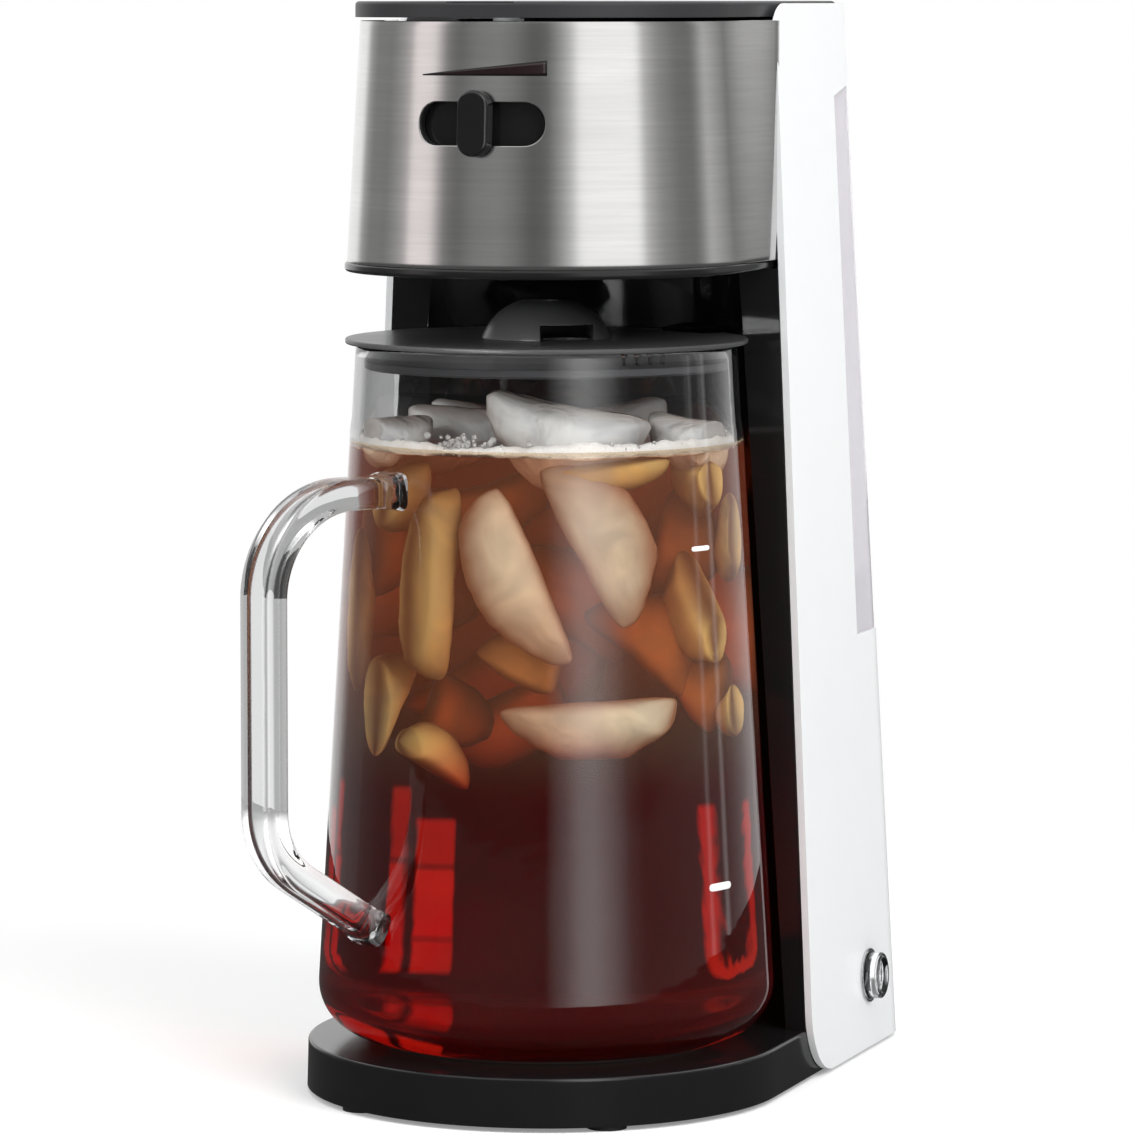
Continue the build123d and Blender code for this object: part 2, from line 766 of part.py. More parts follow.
def make_housing():
    """Inner moulding of the head: U wall, rear wall, basket ledge and side flanges."""
    shell = u_solid(housing_r(band_low), band_low, housing_r(housing_top), housing_top, housing_back_y)
    low_inner = housing_r(band_low - over) - housing_wall
    top_inner = housing_r(housing_top + over) - housing_wall
    flange_y = band_rear_y + flange_gap
    flanges = back_solid(band_low, housing_rear_top, shell_wall + flange_gap, flange_y)
    flanges = flanges & slab(-far, far, flange_y, flange_y + housing_wall, band_low, housing_rear_top)
    shell += flanges
    shell -= u_solid(low_inner, band_low - over, top_inner, housing_top + over, housing_back_y - housing_wall)
    ledge_outer = housing_r(ledge_top) - housing_wall
    shell += ring(ledge_outer + weld, ledge_outer - ledge_width, ledge_top - ledge_thick, ledge_top)
    shell -= slab(-far, far, band_rear_y, housing_back_y + over, housing_rear_top, housing_top + over)
    return shell - stadium_through(slot_half_angle, slot_height, slot_z, band_r_low + over)


def make_head_plate():
    """Black plate under the head with the outlet hole, the riser's hole and a small pip."""
    r_plate = band_r_low + head_plate_lip
    plate = u_solid(r_plate, head_low, r_plate, band_low, housing_back_y)
    front_edges = plate.edges().filter_by(GeomType.CIRCLE)
    plate = fillet(front_edges, plate_edge_share * head_plate)
    plate -= disc(outlet_radius / 2 + seat_gap, head_low - over, band_low + over)
    plate -= disc(riser_radius + hole_gap, head_low - over, band_low + over, riser_x, riser_y)
    return plate + disc(pip_radius, head_low - pip_drop, head_low, pip_x, 0)


pieces["steel_band"] = make_band()
pieces["head_housing"] = make_housing()
pieces["head_plate"] = make_head_plate()
outlet_top = band_low + outlet_flange
pieces["tea_outlet"] = (disc(outlet_radius, band_low, outlet_top)
                        + disc(outlet_radius / 2, head_low, band_low)
                        - disc(outlet_bore, head_low - over, outlet_top + over))

# ---------------------------------------------------------------- strength slider
arm_level = band_low + valve_gap
band_slope = band_taper / band_height
carriage_low = slot_z - carriage_height / 2
carriage_high = slot_z + carriage_height / 2


def carriage_r(z):
    """Outer radius of the carriage, just inside the housing."""
    return housing_r(z) - housing_wall - carriage_gap


def make_carriage():
    """Conical arc plate that fills the slot from behind at every place of the knob."""
    outer = frustum(carriage_r(carriage_low), carriage_r(carriage_high), carriage_low, carriage_high)
    inner_low = carriage_r(carriage_low - over) - carriage_thick
    inner_high = carriage_r(carriage_high + over) - carriage_thick
    inner = frustum(inner_low, inner_high, carriage_low - over, carriage_high + over)
    half = slot_half_angle + slider_half_travel + carriage_spare
    return (outer - inner) & wedge_sector(half, band_r_low, carriage_low, carriage_high)


def make_knob():
    """Oval knob on a stem that goes through the slot to the carriage."""
    r_band = band_r(slot_z)
    face = Plane(origin=(0, -(r_band + knob_gap), slot_z), x_dir=(1, 0, 0), z_dir=(0, -1, band_slope))
    oval = RectangleRounded(knob_width, knob_height, knob_width / 2 - touch)
    knob = extrude(face * oval, knob_proud - knob_gap)
    rim = knob.faces().sort_by(Axis.Y)[0].edges()
    knob = fillet(rim, knob_round)
    stem = slab(-stem_width / 2, stem_width / 2, -(r_band + knob_gap), -r_band / 2,
                slot_z - stem_height / 2, slot_z + stem_height / 2)
    behind = frustum(carriage_r(carriage_low), carriage_r(carriage_high), carriage_low, carriage_high)
    return knob + (stem - behind)


def make_valve_arm():
    """Bar from the carriage down and in to a shutter under the basket's spout."""
    r_out = carriage_r(carriage_high)
    r_in = carriage_r(carriage_low) - carriage_thick
    half = valve_arm_width / 2
    arm = slab(-half, half, -r_out, -r_in, arm_level, carriage_low)
    arm += slab(-half, half, -r_out, 0, arm_level, arm_level + valve_arm_thick)
    arm += disc(shutter_radius, arm_level, arm_level + valve_arm_thick)
    arm = arm & disc(r_out, arm_level, carriage_low)
    arm_high = arm_level + valve_arm_thick
    return arm - disc(outlet_bore, arm_level - over, arm_high + over, 0, shutter_hole_offset)


pieces["slider_carriage"] = make_carriage()
pieces["slider_knob"] = make_knob()
pieces["valve_arm"] = make_valve_arm()

# ---------------------------------------------------------------- basket and filter
basket_low = ledge_top - basket_depth
basket_radius = housing_r(ledge_top) - housing_wall - ledge_width - basket_margin


def basket_r(z):
    """Outer radius of the basket's wall."""
    return line(z, basket_low, basket_radius - basket_draft, ledge_top, basket_radius)


def make_basket():
    """Funnel with a flange that hangs on the ledge and a short spout over the shutter."""
    flange_r = housing_r(ledge_top + basket_flange) - housing_wall - basket_gap
    basket = frustum(basket_r(basket_low), basket_r(ledge_top), basket_low, ledge_top)
    basket += disc(flange_r, ledge_top, ledge_top + basket_flange)
    floor = basket_low + basket_wall
    basket -= frustum(basket_r(floor) - basket_wall, basket_r(ledge_top + basket_flange + over) - basket_wall,
                      floor, ledge_top + basket_flange + over)
    spout_low = arm_level + valve_arm_thick + arm_gap
    basket += disc(basket_spout_radius, spout_low, basket_low)
    return basket - disc(outlet_bore, spout_low - over, floor + over)


def make_filter():
    """Cup with windows for the mesh, standing on the basket's floor."""
    low = basket_low + basket_wall
    high = ledge_top + basket_flange - filter_drop
    outset = basket_wall + filter_gap
    cup = frustum(basket_r(low) - outset, basket_r(high) - outset, low, high)
    cup -= frustum(basket_r(low + filter_wall) - outset - filter_wall,
                   basket_r(high + over) - outset - filter_wall, low + filter_wall, high + over)
    for i in range(filter_windows):
        window = slab(-filter_window_width / 2, filter_window_width / 2, -basket_radius, -basket_radius / 2,
                      low + filter_foot, high - filter_rim)
        cup -= turned(360 / filter_windows * i, window)
    return cup - disc(filter_floor_hole, low - over, low + filter_wall + over)


pieces["brew_basket"] = make_basket()
pieces["filter_cup"] = make_filter()

# ---------------------------------------------------------------- top lid and hinge
hinge_y = shell_rear(top_low) - shell_wall - hinge_back_gap
top_rear_y = hinge_y - hinge_barrel_radius - top_rear_gap
knuckle_centres = [-knuckle_offset, knuckle_offset]


def along_x(radius, x0, x1, y, z):
    """Cylinder that lies along X."""
    return Pos((x0 + x1) / 2, y, z) * Rot(0, 90, 0) * Cylinder(radius, x1 - x0)


def make_top_lid():
    """Shallow lid with a rounded rim, a finger recess at the front and two hinge knuckles."""
    lid = u_solid(top_r, top_low, top_r, top_high, top_rear_y)
    upper = lid.edges().filter_by(lambda e: abs(e.center().Z - top_high) < touch)
    lid = fillet(upper, top_round)
    pocket_r = top_r - top_rim
    lid -= u_solid(pocket_r, top_low - over, pocket_r, top_high - top_skin, top_rear_y - top_rim)
    recess = wedge_sector(recess_half_angle, top_r + over, top_high - recess_depth, top_high + over)
    lid -= recess - disc(top_r - recess_reach, top_high - top_skin, top_high + 2 * over)
    bore = hinge_pin_radius + hinge_clearance
    for x in knuckle_centres:
        x0, x1 = x - knuckle_length / 2, x + knuckle_length / 2
        lid += along_x(hinge_barrel_radius, x0, x1, hinge_y, hinge_z)
        lid += slab(x0, x1, top_rear_y - weld, hinge_y, hinge_z, top_high)
        lid -= along_x(bore, x0 - over, x1 + over, hinge_y, hinge_z)
    return lid


def make_hinge_bracket():
    """Bar along the inside of the back with barrels on both sides of each knuckle."""
    bar_front = hinge_y + hinge_barrel_radius + hinge_bar_gap
    inner_end = knuckle_offset - knuckle_length / 2 - hinge_side_gap
    outer_start = hinge_pin_half - lug_length
    bar_low = tank_top + hinge_bar_rise
    bar_high = hinge_z + hinge_bar_over
    bracket = back_solid(bar_low, bar_high, shell_wall + seat_gap, bar_front - shell_corner)
    bracket = bracket & slab(-hinge_pin_half, hinge_pin_half, bar_front, far, bar_low, bar_high)
    for x0, x1 in ((-hinge_pin_half, -outer_start), (-inner_end, inner_end), (outer_start, hinge_pin_half)):
        bracket += along_x(hinge_barrel_radius, x0, x1, hinge_y, hinge_z)
        bracket += slab(x0, x1, hinge_y, bar_front + weld, hinge_z - hinge_barrel_radius, bar_high)
    return bracket - along_x(hinge_pin_radius, -hinge_pin_half, hinge_pin_half, hinge_y, hinge_z)


hinge_pin_half = knuckle_offset + knuckle_length / 2 + hinge_side_gap + lug_length
pieces["top_lid"] = make_top_lid()
lid_seal_r = top_r - lid_seal_inset
pieces["lid_seal"] = ring(lid_seal_r, lid_seal_r - lid_seal_width, top_high - top_skin - lid_seal_height,
                          top_high - top_skin)
pieces["hinge_bracket"] = make_hinge_bracket()
pieces["hinge_pin"] = along_x(hinge_pin_radius, -hinge_pin_half, hinge_pin_half, hinge_y, hinge_z)

# ---------------------------------------------------------------- water way
riser_top = arm_low + riser_into_arm
hub_top = arm_low + 2 * arm_radius + hub_cap
arm_angle = degrees(atan(riser_y / riser_x))
riser_low_y = sqrt((bay_r(heater_z) + bay_wall + riser_radius + riser_wall_gap) ** 2 - riser_x ** 2)


def make_riser():
    """Pipe from the heater's outlet, round two elbows and up to the spray arm."""
    z_low = heater_z + riser_bend + riser_run
    z_high = tank_low - riser_run
    elbows = FilletPolyline((heater_end_x, heater_front_y, heater_z), (riser_x, heater_front_y, heater_z),
                            (riser_x, riser_low_y, heater_z), (riser_x, riser_low_y, z_low),
                            radius=riser_bend)
    lean = Spline((riser_x, riser_low_y, z_low), (riser_x, riser_y, z_high), tangents=((0, 0, 1), (0, 0, 1)))
    rise = Line((riser_x, riser_y, z_high), (riser_x, riser_y, riser_top))
    return tube(Wire([*elbows.edges(), lean, rise]), riser_radius, riser_bore)


def make_feed_hose():
    """Hose from the check valve down and in to the heater's inlet."""
    path = FilletPolyline((valve_x, valve_y, valve_low), (valve_x, valve_y, heater_z),
                          (heater_end_x, valve_y, heater_z), radius=hose_bend)
    return tube(path, hose_radius, hose_bore)


def heater_path(z):
    """U in a level plane: out along one leg, round, and back along the other."""
    far = heater_leg / 2
    mid = (heater_front_y + heater_back_y) / 2
    return Wire([
        Line((heater_end_x, heater_front_y, z), (far, heater_front_y, z)),
        ThreePointArc((far, heater_front_y, z), (far + heater_pitch / 2, mid, z), (far, heater_back_y, z)),
        Line((far, heater_back_y, z), (heater_end_x, heater_back_y, z)),
    ])


def make_heater_bracket():
    """Strip on the base with two saddles under the heater."""
    y0 = bay_r(base_top) + bay_wall + saddle_gap
    y1 = heater_back_y + heater_tube_radius
    half = saddle_offset + saddle_width
    bracket = slab(-half, half, y0, y1, base_top, base_top + saddle_strip)
    for x in (-saddle_offset, saddle_offset):
        bracket += slab(x - saddle_width / 2, x + saddle_width / 2, y0, y1, base_top,
                        heater_z - heater_tube_radius)
    return bracket


def make_leads():
    """Two wires from the ends of the element to the supply inlet."""
    z_inlet = inlet_z + lead_rise
    y_end = inlet_y - inlet_depth
    y_drop = y_end - lead_run
    leads = []
    for x, y_start in ((heater_end_x - lead_near, heater_back_y), (heater_end_x - lead_far, heater_front_y)):
        path = FilletPolyline((heater_end_x, y_start, element_z), (x, y_start, element_z),
                              (x, y_drop, element_z), (x, y_drop, z_inlet), (x, y_end, z_inlet),
                              radius=lead_bend)
        leads.append(tube(path, lead_radius, 0))
    return leads


def make_spray_arm():
    """Hub that turns on the riser's end and a tube out over the basket."""
    hub = disc(arm_hub_radius, hub_low, hub_top)
    reach = along_x(arm_radius, 0, arm_reach, 0, arm_low + arm_radius)
    arm = hub + reach
    arm -= disc(riser_radius + riser_clearance, hub_low - over, riser_top + riser_end_gap)
    arm -= along_x(arm_bore, arm_radius, arm_reach - arm_radius, 0, arm_low + arm_radius)
    arm -= disc(shower_radius, arm_low - over, arm_low + shower_thick, arm_reach)
    return Pos(riser_x, riser_y, 0) * Rot(0, 0, arm_angle) * arm


def make_shower():
    """Perforated disc under the arm's end."""
    head = disc(shower_radius, arm_low, arm_low + shower_thick, arm_reach)
    for i in range(shower_holes):
        a = radians(360 / shower_holes * i)
        head -= disc(shower_hole_radius, arm_low - over, arm_low + shower_thick + over,
                     arm_reach + shower_hole_circle * cos(a), shower_hole_circle * sin(a))
    return Pos(riser_x, riser_y, 0) * Rot(0, 0, arm_angle) * head


valve_high = tank_low - chassis_wall
valve_low = valve_high - valve_length
element_z = heater_z + heater_tube_radius + heater_element_radius + fuse_gap
heater_mid_y = (heater_front_y + heater_back_y) / 2
fuse_z = element_z + heater_element_radius + fuse_radius + fuse_gap
pieces["tank_strainer"] = ring(strainer_radius, nipple_radius, tank_low + tank_wall,
                               tank_low + tank_wall + strainer_height, valve_x, valve_y)
pieces["check_valve"] = (disc(valve_radius, valve_low, valve_high, valve_x, valve_y)
                         + disc(nipple_radius, valve_high, tank_low + tank_wall, valve_x, valve_y)
                         - disc(valve_bore, valve_low - over, tank_low + tank_wall + over, valve_x, valve_y))
pieces["feed_hose"] = make_feed_hose()
pieces["heater_tube"] = tube(heater_path(heater_z), heater_tube_radius, hose_bore)
pieces["heater_element"] = tube(heater_path(element_z), heater_element_radius, 0)
pieces["heater_bracket"] = make_heater_bracket()
pieces["thermostat"] = disc(heater_pitch / 2 - heater_tube_radius - thermostat_gap, heater_z - thermostat_low,
                            heater_z + thermostat_high, 0, heater_mid_y)
pieces["thermal_fuses"] = Compound([along_x(fuse_radius, -fuse_half_length, fuse_half_length, y, fuse_z)
                                    for y in (heater_front_y, heater_back_y)])
pieces["heater_leads"] = Compound(make_leads())
pieces["riser_tube"] = make_riser()
pieces["spray_arm"] = make_spray_arm()
pieces["shower_head"] = make_shower()

# ---------------------------------------------------------------- button, switch and supply
button_back = -button_skirt
switch_face_d = button_back - button_travel - switch_gap


def make_button():
    """Clear cap with a dished face and a hidden flange that keeps it in the panel."""
    cap = out_of_panel(button_r, button_back, button_proud)
    rim = cap.edges().sort_by(Axis.X)[-1]
    cap = fillet(rim, button_round)
    dish_r = (button_r * button_dish_share) ** 2 / (2 * button_dish)
    cap -= button_plane * Pos(0, 0, button_proud - button_dish + dish_r) * Sphere(dish_r)
    flange_out = -(shell_wall + seat_gap)
    flange = out_of_panel(button_r + flange_lip, flange_out - button_flange, flange_out)
    cap += flange & slab(0, far, 0, far, base_top + hole_gap, far)
    well = spring_radius + spring_wire + spring_well_gap
    return cap - out_of_panel(well, button_back - over, button_proud - button_face)


def make_bezel():
    """Ring on the panel with a thin skirt in the hole."""
    inner = button_r + button_gap
    bezel = out_of_panel(bezel_radius, bezel_seat, bezel_proud)
    bezel += out_of_panel(inner + bezel_width / 2 - bezel_skirt_gap, -shell_wall, bezel_proud)
    return bezel - out_of_panel(inner, -shell_wall - over, bezel_proud + over)


def make_spring():
    """Compression spring between switch and button."""
    helix = Helix(pitch=spring_length / spring_turns, height=spring_length, radius=spring_radius)
    wire = sweep(Plane(helix @ 0, z_dir=helix % 0) * Circle(spring_wire), helix, is_frenet=True)
    return button_plane * Pos(0, 0, switch_face_d + spring_wire + spring_gap) * wire


switch_x = button_origin[0] + switch_face_d - spring_gap
pins_y = inlet_y - inlet_depth + socket_wall
socket_back_y = inlet_y - socket_sink
pin_length = socket_back_y - pin_sink - pins_y
pieces["power_button"] = make_button()
pieces["button_bezel"] = make_bezel()
pieces["button_spring"] = make_spring()
pieces["switch_body"] = slab(switch_x - switch_depth, switch_x, button_y - switch_size / 2,
                             button_y + switch_size / 2, base_top, button_z + switch_size / 2)
pieces["indicator_lamp"] = Pos(switch_x + lamp_height / 2, button_y, button_z) * Rot(0, 90, 0) * Cylinder(
    lamp_radius, lamp_height)
socket_half = inlet_size / 2 - socket_gap
socket_half_rise = inlet_rise / 2 - socket_gap
socket = slab(inlet_x - socket_half, inlet_x + socket_half, inlet_y - inlet_depth, socket_back_y,
              inlet_z - socket_half_rise, inlet_z + socket_half_rise)
cavity_half = inlet_size / 2 - socket_wall
cavity_half_rise = inlet_rise / 2 - socket_wall
pieces["power_inlet"] = socket - slab(inlet_x - cavity_half, inlet_x + cavity_half, pins_y, inlet_y + over,
                                      inlet_z - cavity_half_rise, inlet_z + cavity_half_rise)
pieces["inlet_pins"] = Compound([Pos(inlet_x + side * pin_offset, pins_y + pin_length / 2, inlet_z)
                                 * Rot(90, 0, 0) * Cylinder(pin_radius, pin_length) for side in (-1, 1)])
terminal_y = heater_back_y + heater_tube_radius + terminal_gap
pieces["terminal_block"] = slab(terminal_x - terminal_length / 2, terminal_x + terminal_length / 2, terminal_y,
                                terminal_y + terminal_depth, base_top, base_top + terminal_size)

# ---------------------------------------------------------------- one STEP file for each piece
for name, shape in pieces.items():
    export_step(shape, f"parts/{name}.step")
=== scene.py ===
import math

import bpy
import numpy as np
from bpy.props import FloatProperty, FloatVectorProperty, IntProperty, PointerProperty
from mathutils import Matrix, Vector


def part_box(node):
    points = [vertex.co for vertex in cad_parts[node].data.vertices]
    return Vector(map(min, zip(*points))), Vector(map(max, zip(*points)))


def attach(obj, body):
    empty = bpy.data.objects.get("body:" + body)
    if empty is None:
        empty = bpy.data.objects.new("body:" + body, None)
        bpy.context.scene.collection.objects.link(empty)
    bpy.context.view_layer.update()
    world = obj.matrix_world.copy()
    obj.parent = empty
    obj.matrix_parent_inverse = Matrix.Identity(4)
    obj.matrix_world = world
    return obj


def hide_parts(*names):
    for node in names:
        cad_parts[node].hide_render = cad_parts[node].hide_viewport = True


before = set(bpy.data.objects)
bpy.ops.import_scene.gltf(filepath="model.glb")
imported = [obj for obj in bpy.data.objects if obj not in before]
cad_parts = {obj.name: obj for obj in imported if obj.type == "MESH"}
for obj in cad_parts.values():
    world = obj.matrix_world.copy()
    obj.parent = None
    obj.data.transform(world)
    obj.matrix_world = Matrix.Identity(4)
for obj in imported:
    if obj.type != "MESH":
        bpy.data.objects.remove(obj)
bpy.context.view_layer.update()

bl_info = {
    "name": "Iced Tea Maker",
    "version": (1, 0, 0),
    "blender": (4, 5, 0),
    "location": "3D View > Sidebar > Tea Maker",
    "description": "Dresses the packed parts of an iced tea maker and adds its glass jug, drink and studio",
    "category": "Object",
}

# Angles round the common axis are measured from the front, -Y, and grow towards +X, in degrees.
MM = 0.001
RIM_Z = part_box("glass_jug")[1].z
FOOT_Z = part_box("glass_jug")[0].z
BAND_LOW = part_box("steel_band")[0].z
BAND_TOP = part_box("steel_band")[1].z
BAND_RUN = 34.6 * MM  # length of the band's straight sides, up to the housing's cheeks
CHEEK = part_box("head_housing")[1].x + 0.2 * MM
INK = 0.06 * MM  # thickness of the prints
HANDLE_TURN = -30.0
LIP_TURN = 150.0  # opposite to the handle
TONE_LOW, TONE_HIGH = 97 * MM, 120 * MM  # heights between which the tea turns from red to amber
GLOW_LOW, GLOW_HIGH = 90 * MM, 150 * MM  # heights between which the painted glow of the wetted glass begins
GLASS_IOR, TEA_IOR, ICE_IOR = 1.47, 1.33, 1.31
WET_IOR = 1.105  # GLASS_IOR over TEA_IOR
VIEW_TURN = 20.4  # the side from which the drink is laid out
VIEW_RIGHT = np.array([math.cos(math.radians(VIEW_TURN)), math.sin(math.radians(VIEW_TURN)), 0.0])
VIEW_NEAR = np.array([math.sin(math.radians(VIEW_TURN)), -math.cos(math.radians(VIEW_TURN)), 0.0])


def length(name, text, default):
    """A size in metres that a user may change."""
    return FloatProperty(name=name, description=text, default=default, min=0.0, unit="LENGTH", subtype="DISTANCE")


def colour(name, text, default):
    """A colour that a user may change."""
    return FloatVectorProperty(name=name, description=text, default=default, size=3, min=0.0, max=1.0, subtype="COLOR")


class TeaMakerSizes(bpy.types.PropertyGroup):
    """Sizes of the pieces that this file adds to the frame."""

    jug_low: length("Jug Foot Radius", "Outside radius where the wall meets the floor", 71.3 * MM)
    jug_rim: length("Jug Rim Radius", "Outside radius at the rim", 58.6 * MM)
    jug_wall: length("Jug Wall", "Thickness of the glass", 2.6 * MM)
    jug_floor: length("Jug Floor", "Thickness of the glass floor", 5.0 * MM)
    jug_corner: length("Jug Corner", "Outer radius between wall and floor", 16.0 * MM)
    lip_reach: length("Lip Reach", "How far the pour lip stands out of the rim", 2.8 * MM)
    handle_reach: length("Handle Reach", "Axis of the jug to the middle of the grip", 108.4 * MM)
    handle_width: length("Handle Width", "Width of the strap", 13.9 * MM)
    handle_thick: length("Handle Thickness", "Thickness of the strap", 9.7 * MM)
    tea_depth: length("Tea Depth", "Tea's surface above the inside of the floor", 177.5 * MM)
    foam_width: length("Foam Width", "Width of the ring of foam along the wall", 3.2 * MM)
    band_low: length("Band Foot Radius", "Outside radius of the steel band at its foot", 61.0 * MM)
    band_top: length("Band Top Radius", "Outside radius of the steel band at its top", 56.7 * MM)
    band_sheet: length("Band Sheet", "Thickness of the steel", 0.8 * MM)
    slot_height: length("Slot Height", "Height of the slider's slot", 12.9 * MM)
    edge_soft: length("Edge Softness", "Radius of the light on moulded edges", 0.45 * MM)
    bubbles: IntProperty(name="Bubbles", description="Bubbles in the foam", default=420, min=0, max=2000)


class TeaMakerColours(bpy.types.PropertyGroup):
    """Colours of the finishes."""

    white: colour("White Shell", "Side panels and back", (0.83, 0.845, 0.85))
    gloss: colour("Gloss Black", "Base, column and head underside", (0.0085, 0.0085, 0.009))
    satin: colour("Satin Black", "Knob, grip and collar", (0.014, 0.014, 0.015))
    charcoal: colour("Charcoal", "Lids", (0.028, 0.028, 0.03))
    steel: colour("Brushed Steel", "Band round the head", (0.80, 0.795, 0.785))
    tea_low: colour("Tea at the Foot", "Undiluted tea", (0.95, 0.004, 0.006))
    tea_top: colour("Tea at the Top", "Tea thinned by the ice", (0.95, 0.76, 0.50))
    # ice_mid and ice_deep are the ice of ice_near, painted darker and warmer as shade for their depth in the tea
    ice_near: colour("Ice by the Wall", "Crescents close to the glass", (0.78, 0.95, 0.98))
    ice_mid: colour("Ice Further In", "Crescents seen through some tea", (0.72, 0.60, 0.27))
    ice_deep: colour("Ice Deep Inside", "Crescents deep in the tea", (0.74, 0.36, 0.12))
    print_white: colour("Print", "Level marks on the glass", (0.90, 0.91, 0.92))


def sizes():
    """The scene's sizes."""
    return bpy.context.scene.tea_maker_sizes


def colours():
    """The scene's colours."""
    return bpy.context.scene.tea_maker_colours


# ------------------------------------------------------------------ meshes from arrays


def enclosed_volume(points, faces):
    """Signed volume of a closed skin: the sum over its triangles of a . (b x c) / 6."""
    total = 0.0
    for f in faces:
        for k in range(1, f.shape[1] - 1):
            a, b, c = points[f[:, 0]], points[f[:, k]], points[f[:, k + 1]]
            total += np.einsum("ij,ij->", a, np.cross(b, c)) / 6
    return total


def add_mesh(name, points, faces, material, body, replaced=()):
    """A new piece from points (n, 3) in metres and arrays of quads and triangles."""
    mesh = bpy.data.meshes.new(name)
    mesh.vertices.add(len(points))
    mesh.vertices.foreach_set("co", np.asarray(points, np.float32).ravel())
    corners = np.concatenate([f.ravel() for f in faces]).astype(np.int32)
    counts = np.concatenate([np.full(len(f), f.shape[1]) for f in faces])
    mesh.loops.add(len(corners))
    mesh.loops.foreach_set("vertex_index", corners)
    mesh.polygons.add(len(counts))
    mesh.polygons.foreach_set("loop_start", np.concatenate([[0], np.cumsum(counts)[:-1]]).astype(np.int32))
    mesh.polygons.foreach_set("use_smooth", np.ones(len(counts), bool))
    mesh.update(calc_edges=True)
    mesh.validate()
    mesh.materials.append(material)
    piece = bpy.data.objects.new(name, mesh)
    bpy.context.scene.collection.objects.link(piece)
    if body is None:
        return piece
    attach(piece, body)
    if replaced:
        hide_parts(*replaced)
    return piece


def grid_quads(rows, columns, closed):
    """Quads of a grid of points in row-major order; closed joins the last column to the first."""
    index = np.arange(rows * columns).reshape(rows, columns)
    right = np.roll(index, -1, axis=1)
    if not closed:
        index, right = index[:, :-1], right[:, :-1]
    return np.stack([index[:-1], right[:-1], right[1:], index[1:]], -1).reshape(-1, 4)


def add_sheet(name, grid, material, body, closed=False, depth=0.0):
    """A piece from a grid of points (rows, columns, 3), thickened inwards by a depth from the side it faces."""
    piece = add_mesh(name, grid.reshape(-1, 3), [grid_quads(*grid.shape[:2], closed)], material, body)
    return thicken(piece, depth) if depth else piece


def thicken(piece, depth):
    """Gives an open sheet its thickness, inwards from the side it faces."""
    wall = piece.modifiers.new("Thickness", "SOLIDIFY")
    wall.thickness = depth
    wall.offset = -1.0
    wall.use_even_offset = True
    return piece


def capped_rings(rings, first, last):
    """Closed skin over rings of points (m, n, 3) whose ends draw in to the points first and last."""
    m, n = rings.shape[:2]
    points = np.concatenate([rings.reshape(-1, 3), [first], [last]])
    around = np.arange(n)
    after = np.roll(around, -1)
    low = np.stack([np.full(n, m * n), after, around], -1)
    high = np.stack([np.full(n, m * n + 1), around + (m - 1) * n, after + (m - 1) * n], -1)
    faces = [grid_quads(m, n, True), low, high]
    if enclosed_volume(points, faces) < 0:
        faces = [f[:, ::-1] for f in faces]
    return points, faces


def joined(parts):
    """One set of points and faces from several."""
    points, quads, triangles, start = [], [], [], 0
    for p, (q, *t) in parts:
        points.append(p)
        quads.append(q + start)
        triangles += [x + start for x in t]
        start += len(p)
    return np.concatenate(points), [np.concatenate(quads), np.concatenate(triangles)]


def around_axis(radius, angle, z):
    """Points at a radius and an angle from the front: x = r sin a, y = -r cos a."""
    a = np.radians(angle)
    radius, a, z = np.broadcast_arrays(radius, a, z)
    return np.stack([radius * np.sin(a), -radius * np.cos(a), z], -1)


def straight(a, b, count):
    """Evenly spaced points from a to b, without b."""
    t = np.linspace(0, 1, count, endpoint=False)[:, None]
    return (1 - t) * np.array(a, float) + t * np.array(b, float)


def arc(centre, radius, start, end, count):
    """Points on an arc in the plane of radius and height, from one angle to another in degrees."""
    t = np.radians(np.linspace(start, end, count))
    return np.array(centre, float) + radius * np.stack([np.cos(t), np.sin(t)], -1)


def cup_outline(r_low, r_high, z0, z1, corner, count):
    """Half outline of a tapered cup from the axis to its top: floor, arc tangent to floor and wall, straight wall."""
    lean = math.atan2(r_low - r_high, z1 - z0)
    cx = r_low - corner * (1 + math.sin(lean)) / math.cos(lean)
    bend = arc((cx, z0 + corner), corner, -90, math.degrees(lean), 14)
    return np.concatenate([straight((0, z0), bend[0], 9), bend[:-1], straight(bend[-1], (r_high, z1), count)])


def jug_radius(z):
    """Outside radius of the jug's straight wall at height z."""
    s = sizes()
    return s.jug_low + (s.jug_rim - s.jug_low) * (z - FOOT_Z) / (RIM_Z - FOOT_Z)


def smooth_over(a, b, k):
    """The larger of a and b, with the crease between them rounded over a length k."""
    return (a + b + np.sqrt((a - b) ** 2 + k * k)) / 2 - k / 2


def lip_push(angle, z):
    """How far the pour lip moves the wall out: a slanted cone, r = y cos a + sqrt(c^2 - y^2 sin^2 a), less the wall."""
    s = sizes()
    drop, c_low, c_top, sink = 24.0 * MM, 8.0 * MM, 15.0 * MM, 0.4 * MM
    t = np.clip((z - RIM_Z + drop) / drop, 0, 1)
    c = c_low + (c_top - c_low) * t
    y = (jug_radius(RIM_Z - drop) - c_low - sink) * (1 - t) + (s.jug_rim + s.lip_reach - c_top) * t
    a = np.radians(angle)
    inside = c * c - (y * np.sin(a)) ** 2
    cone = np.where((inside > 0) & (np.cos(a) > 0), y * np.cos(a) + np.sqrt(np.maximum(inside, 0)), 0)
    return (smooth_over(jug_radius(z), cone, 0.5 * MM) - jug_radius(z)) * (t > 0)


# ------------------------------------------------------------------ node helpers and shared effects


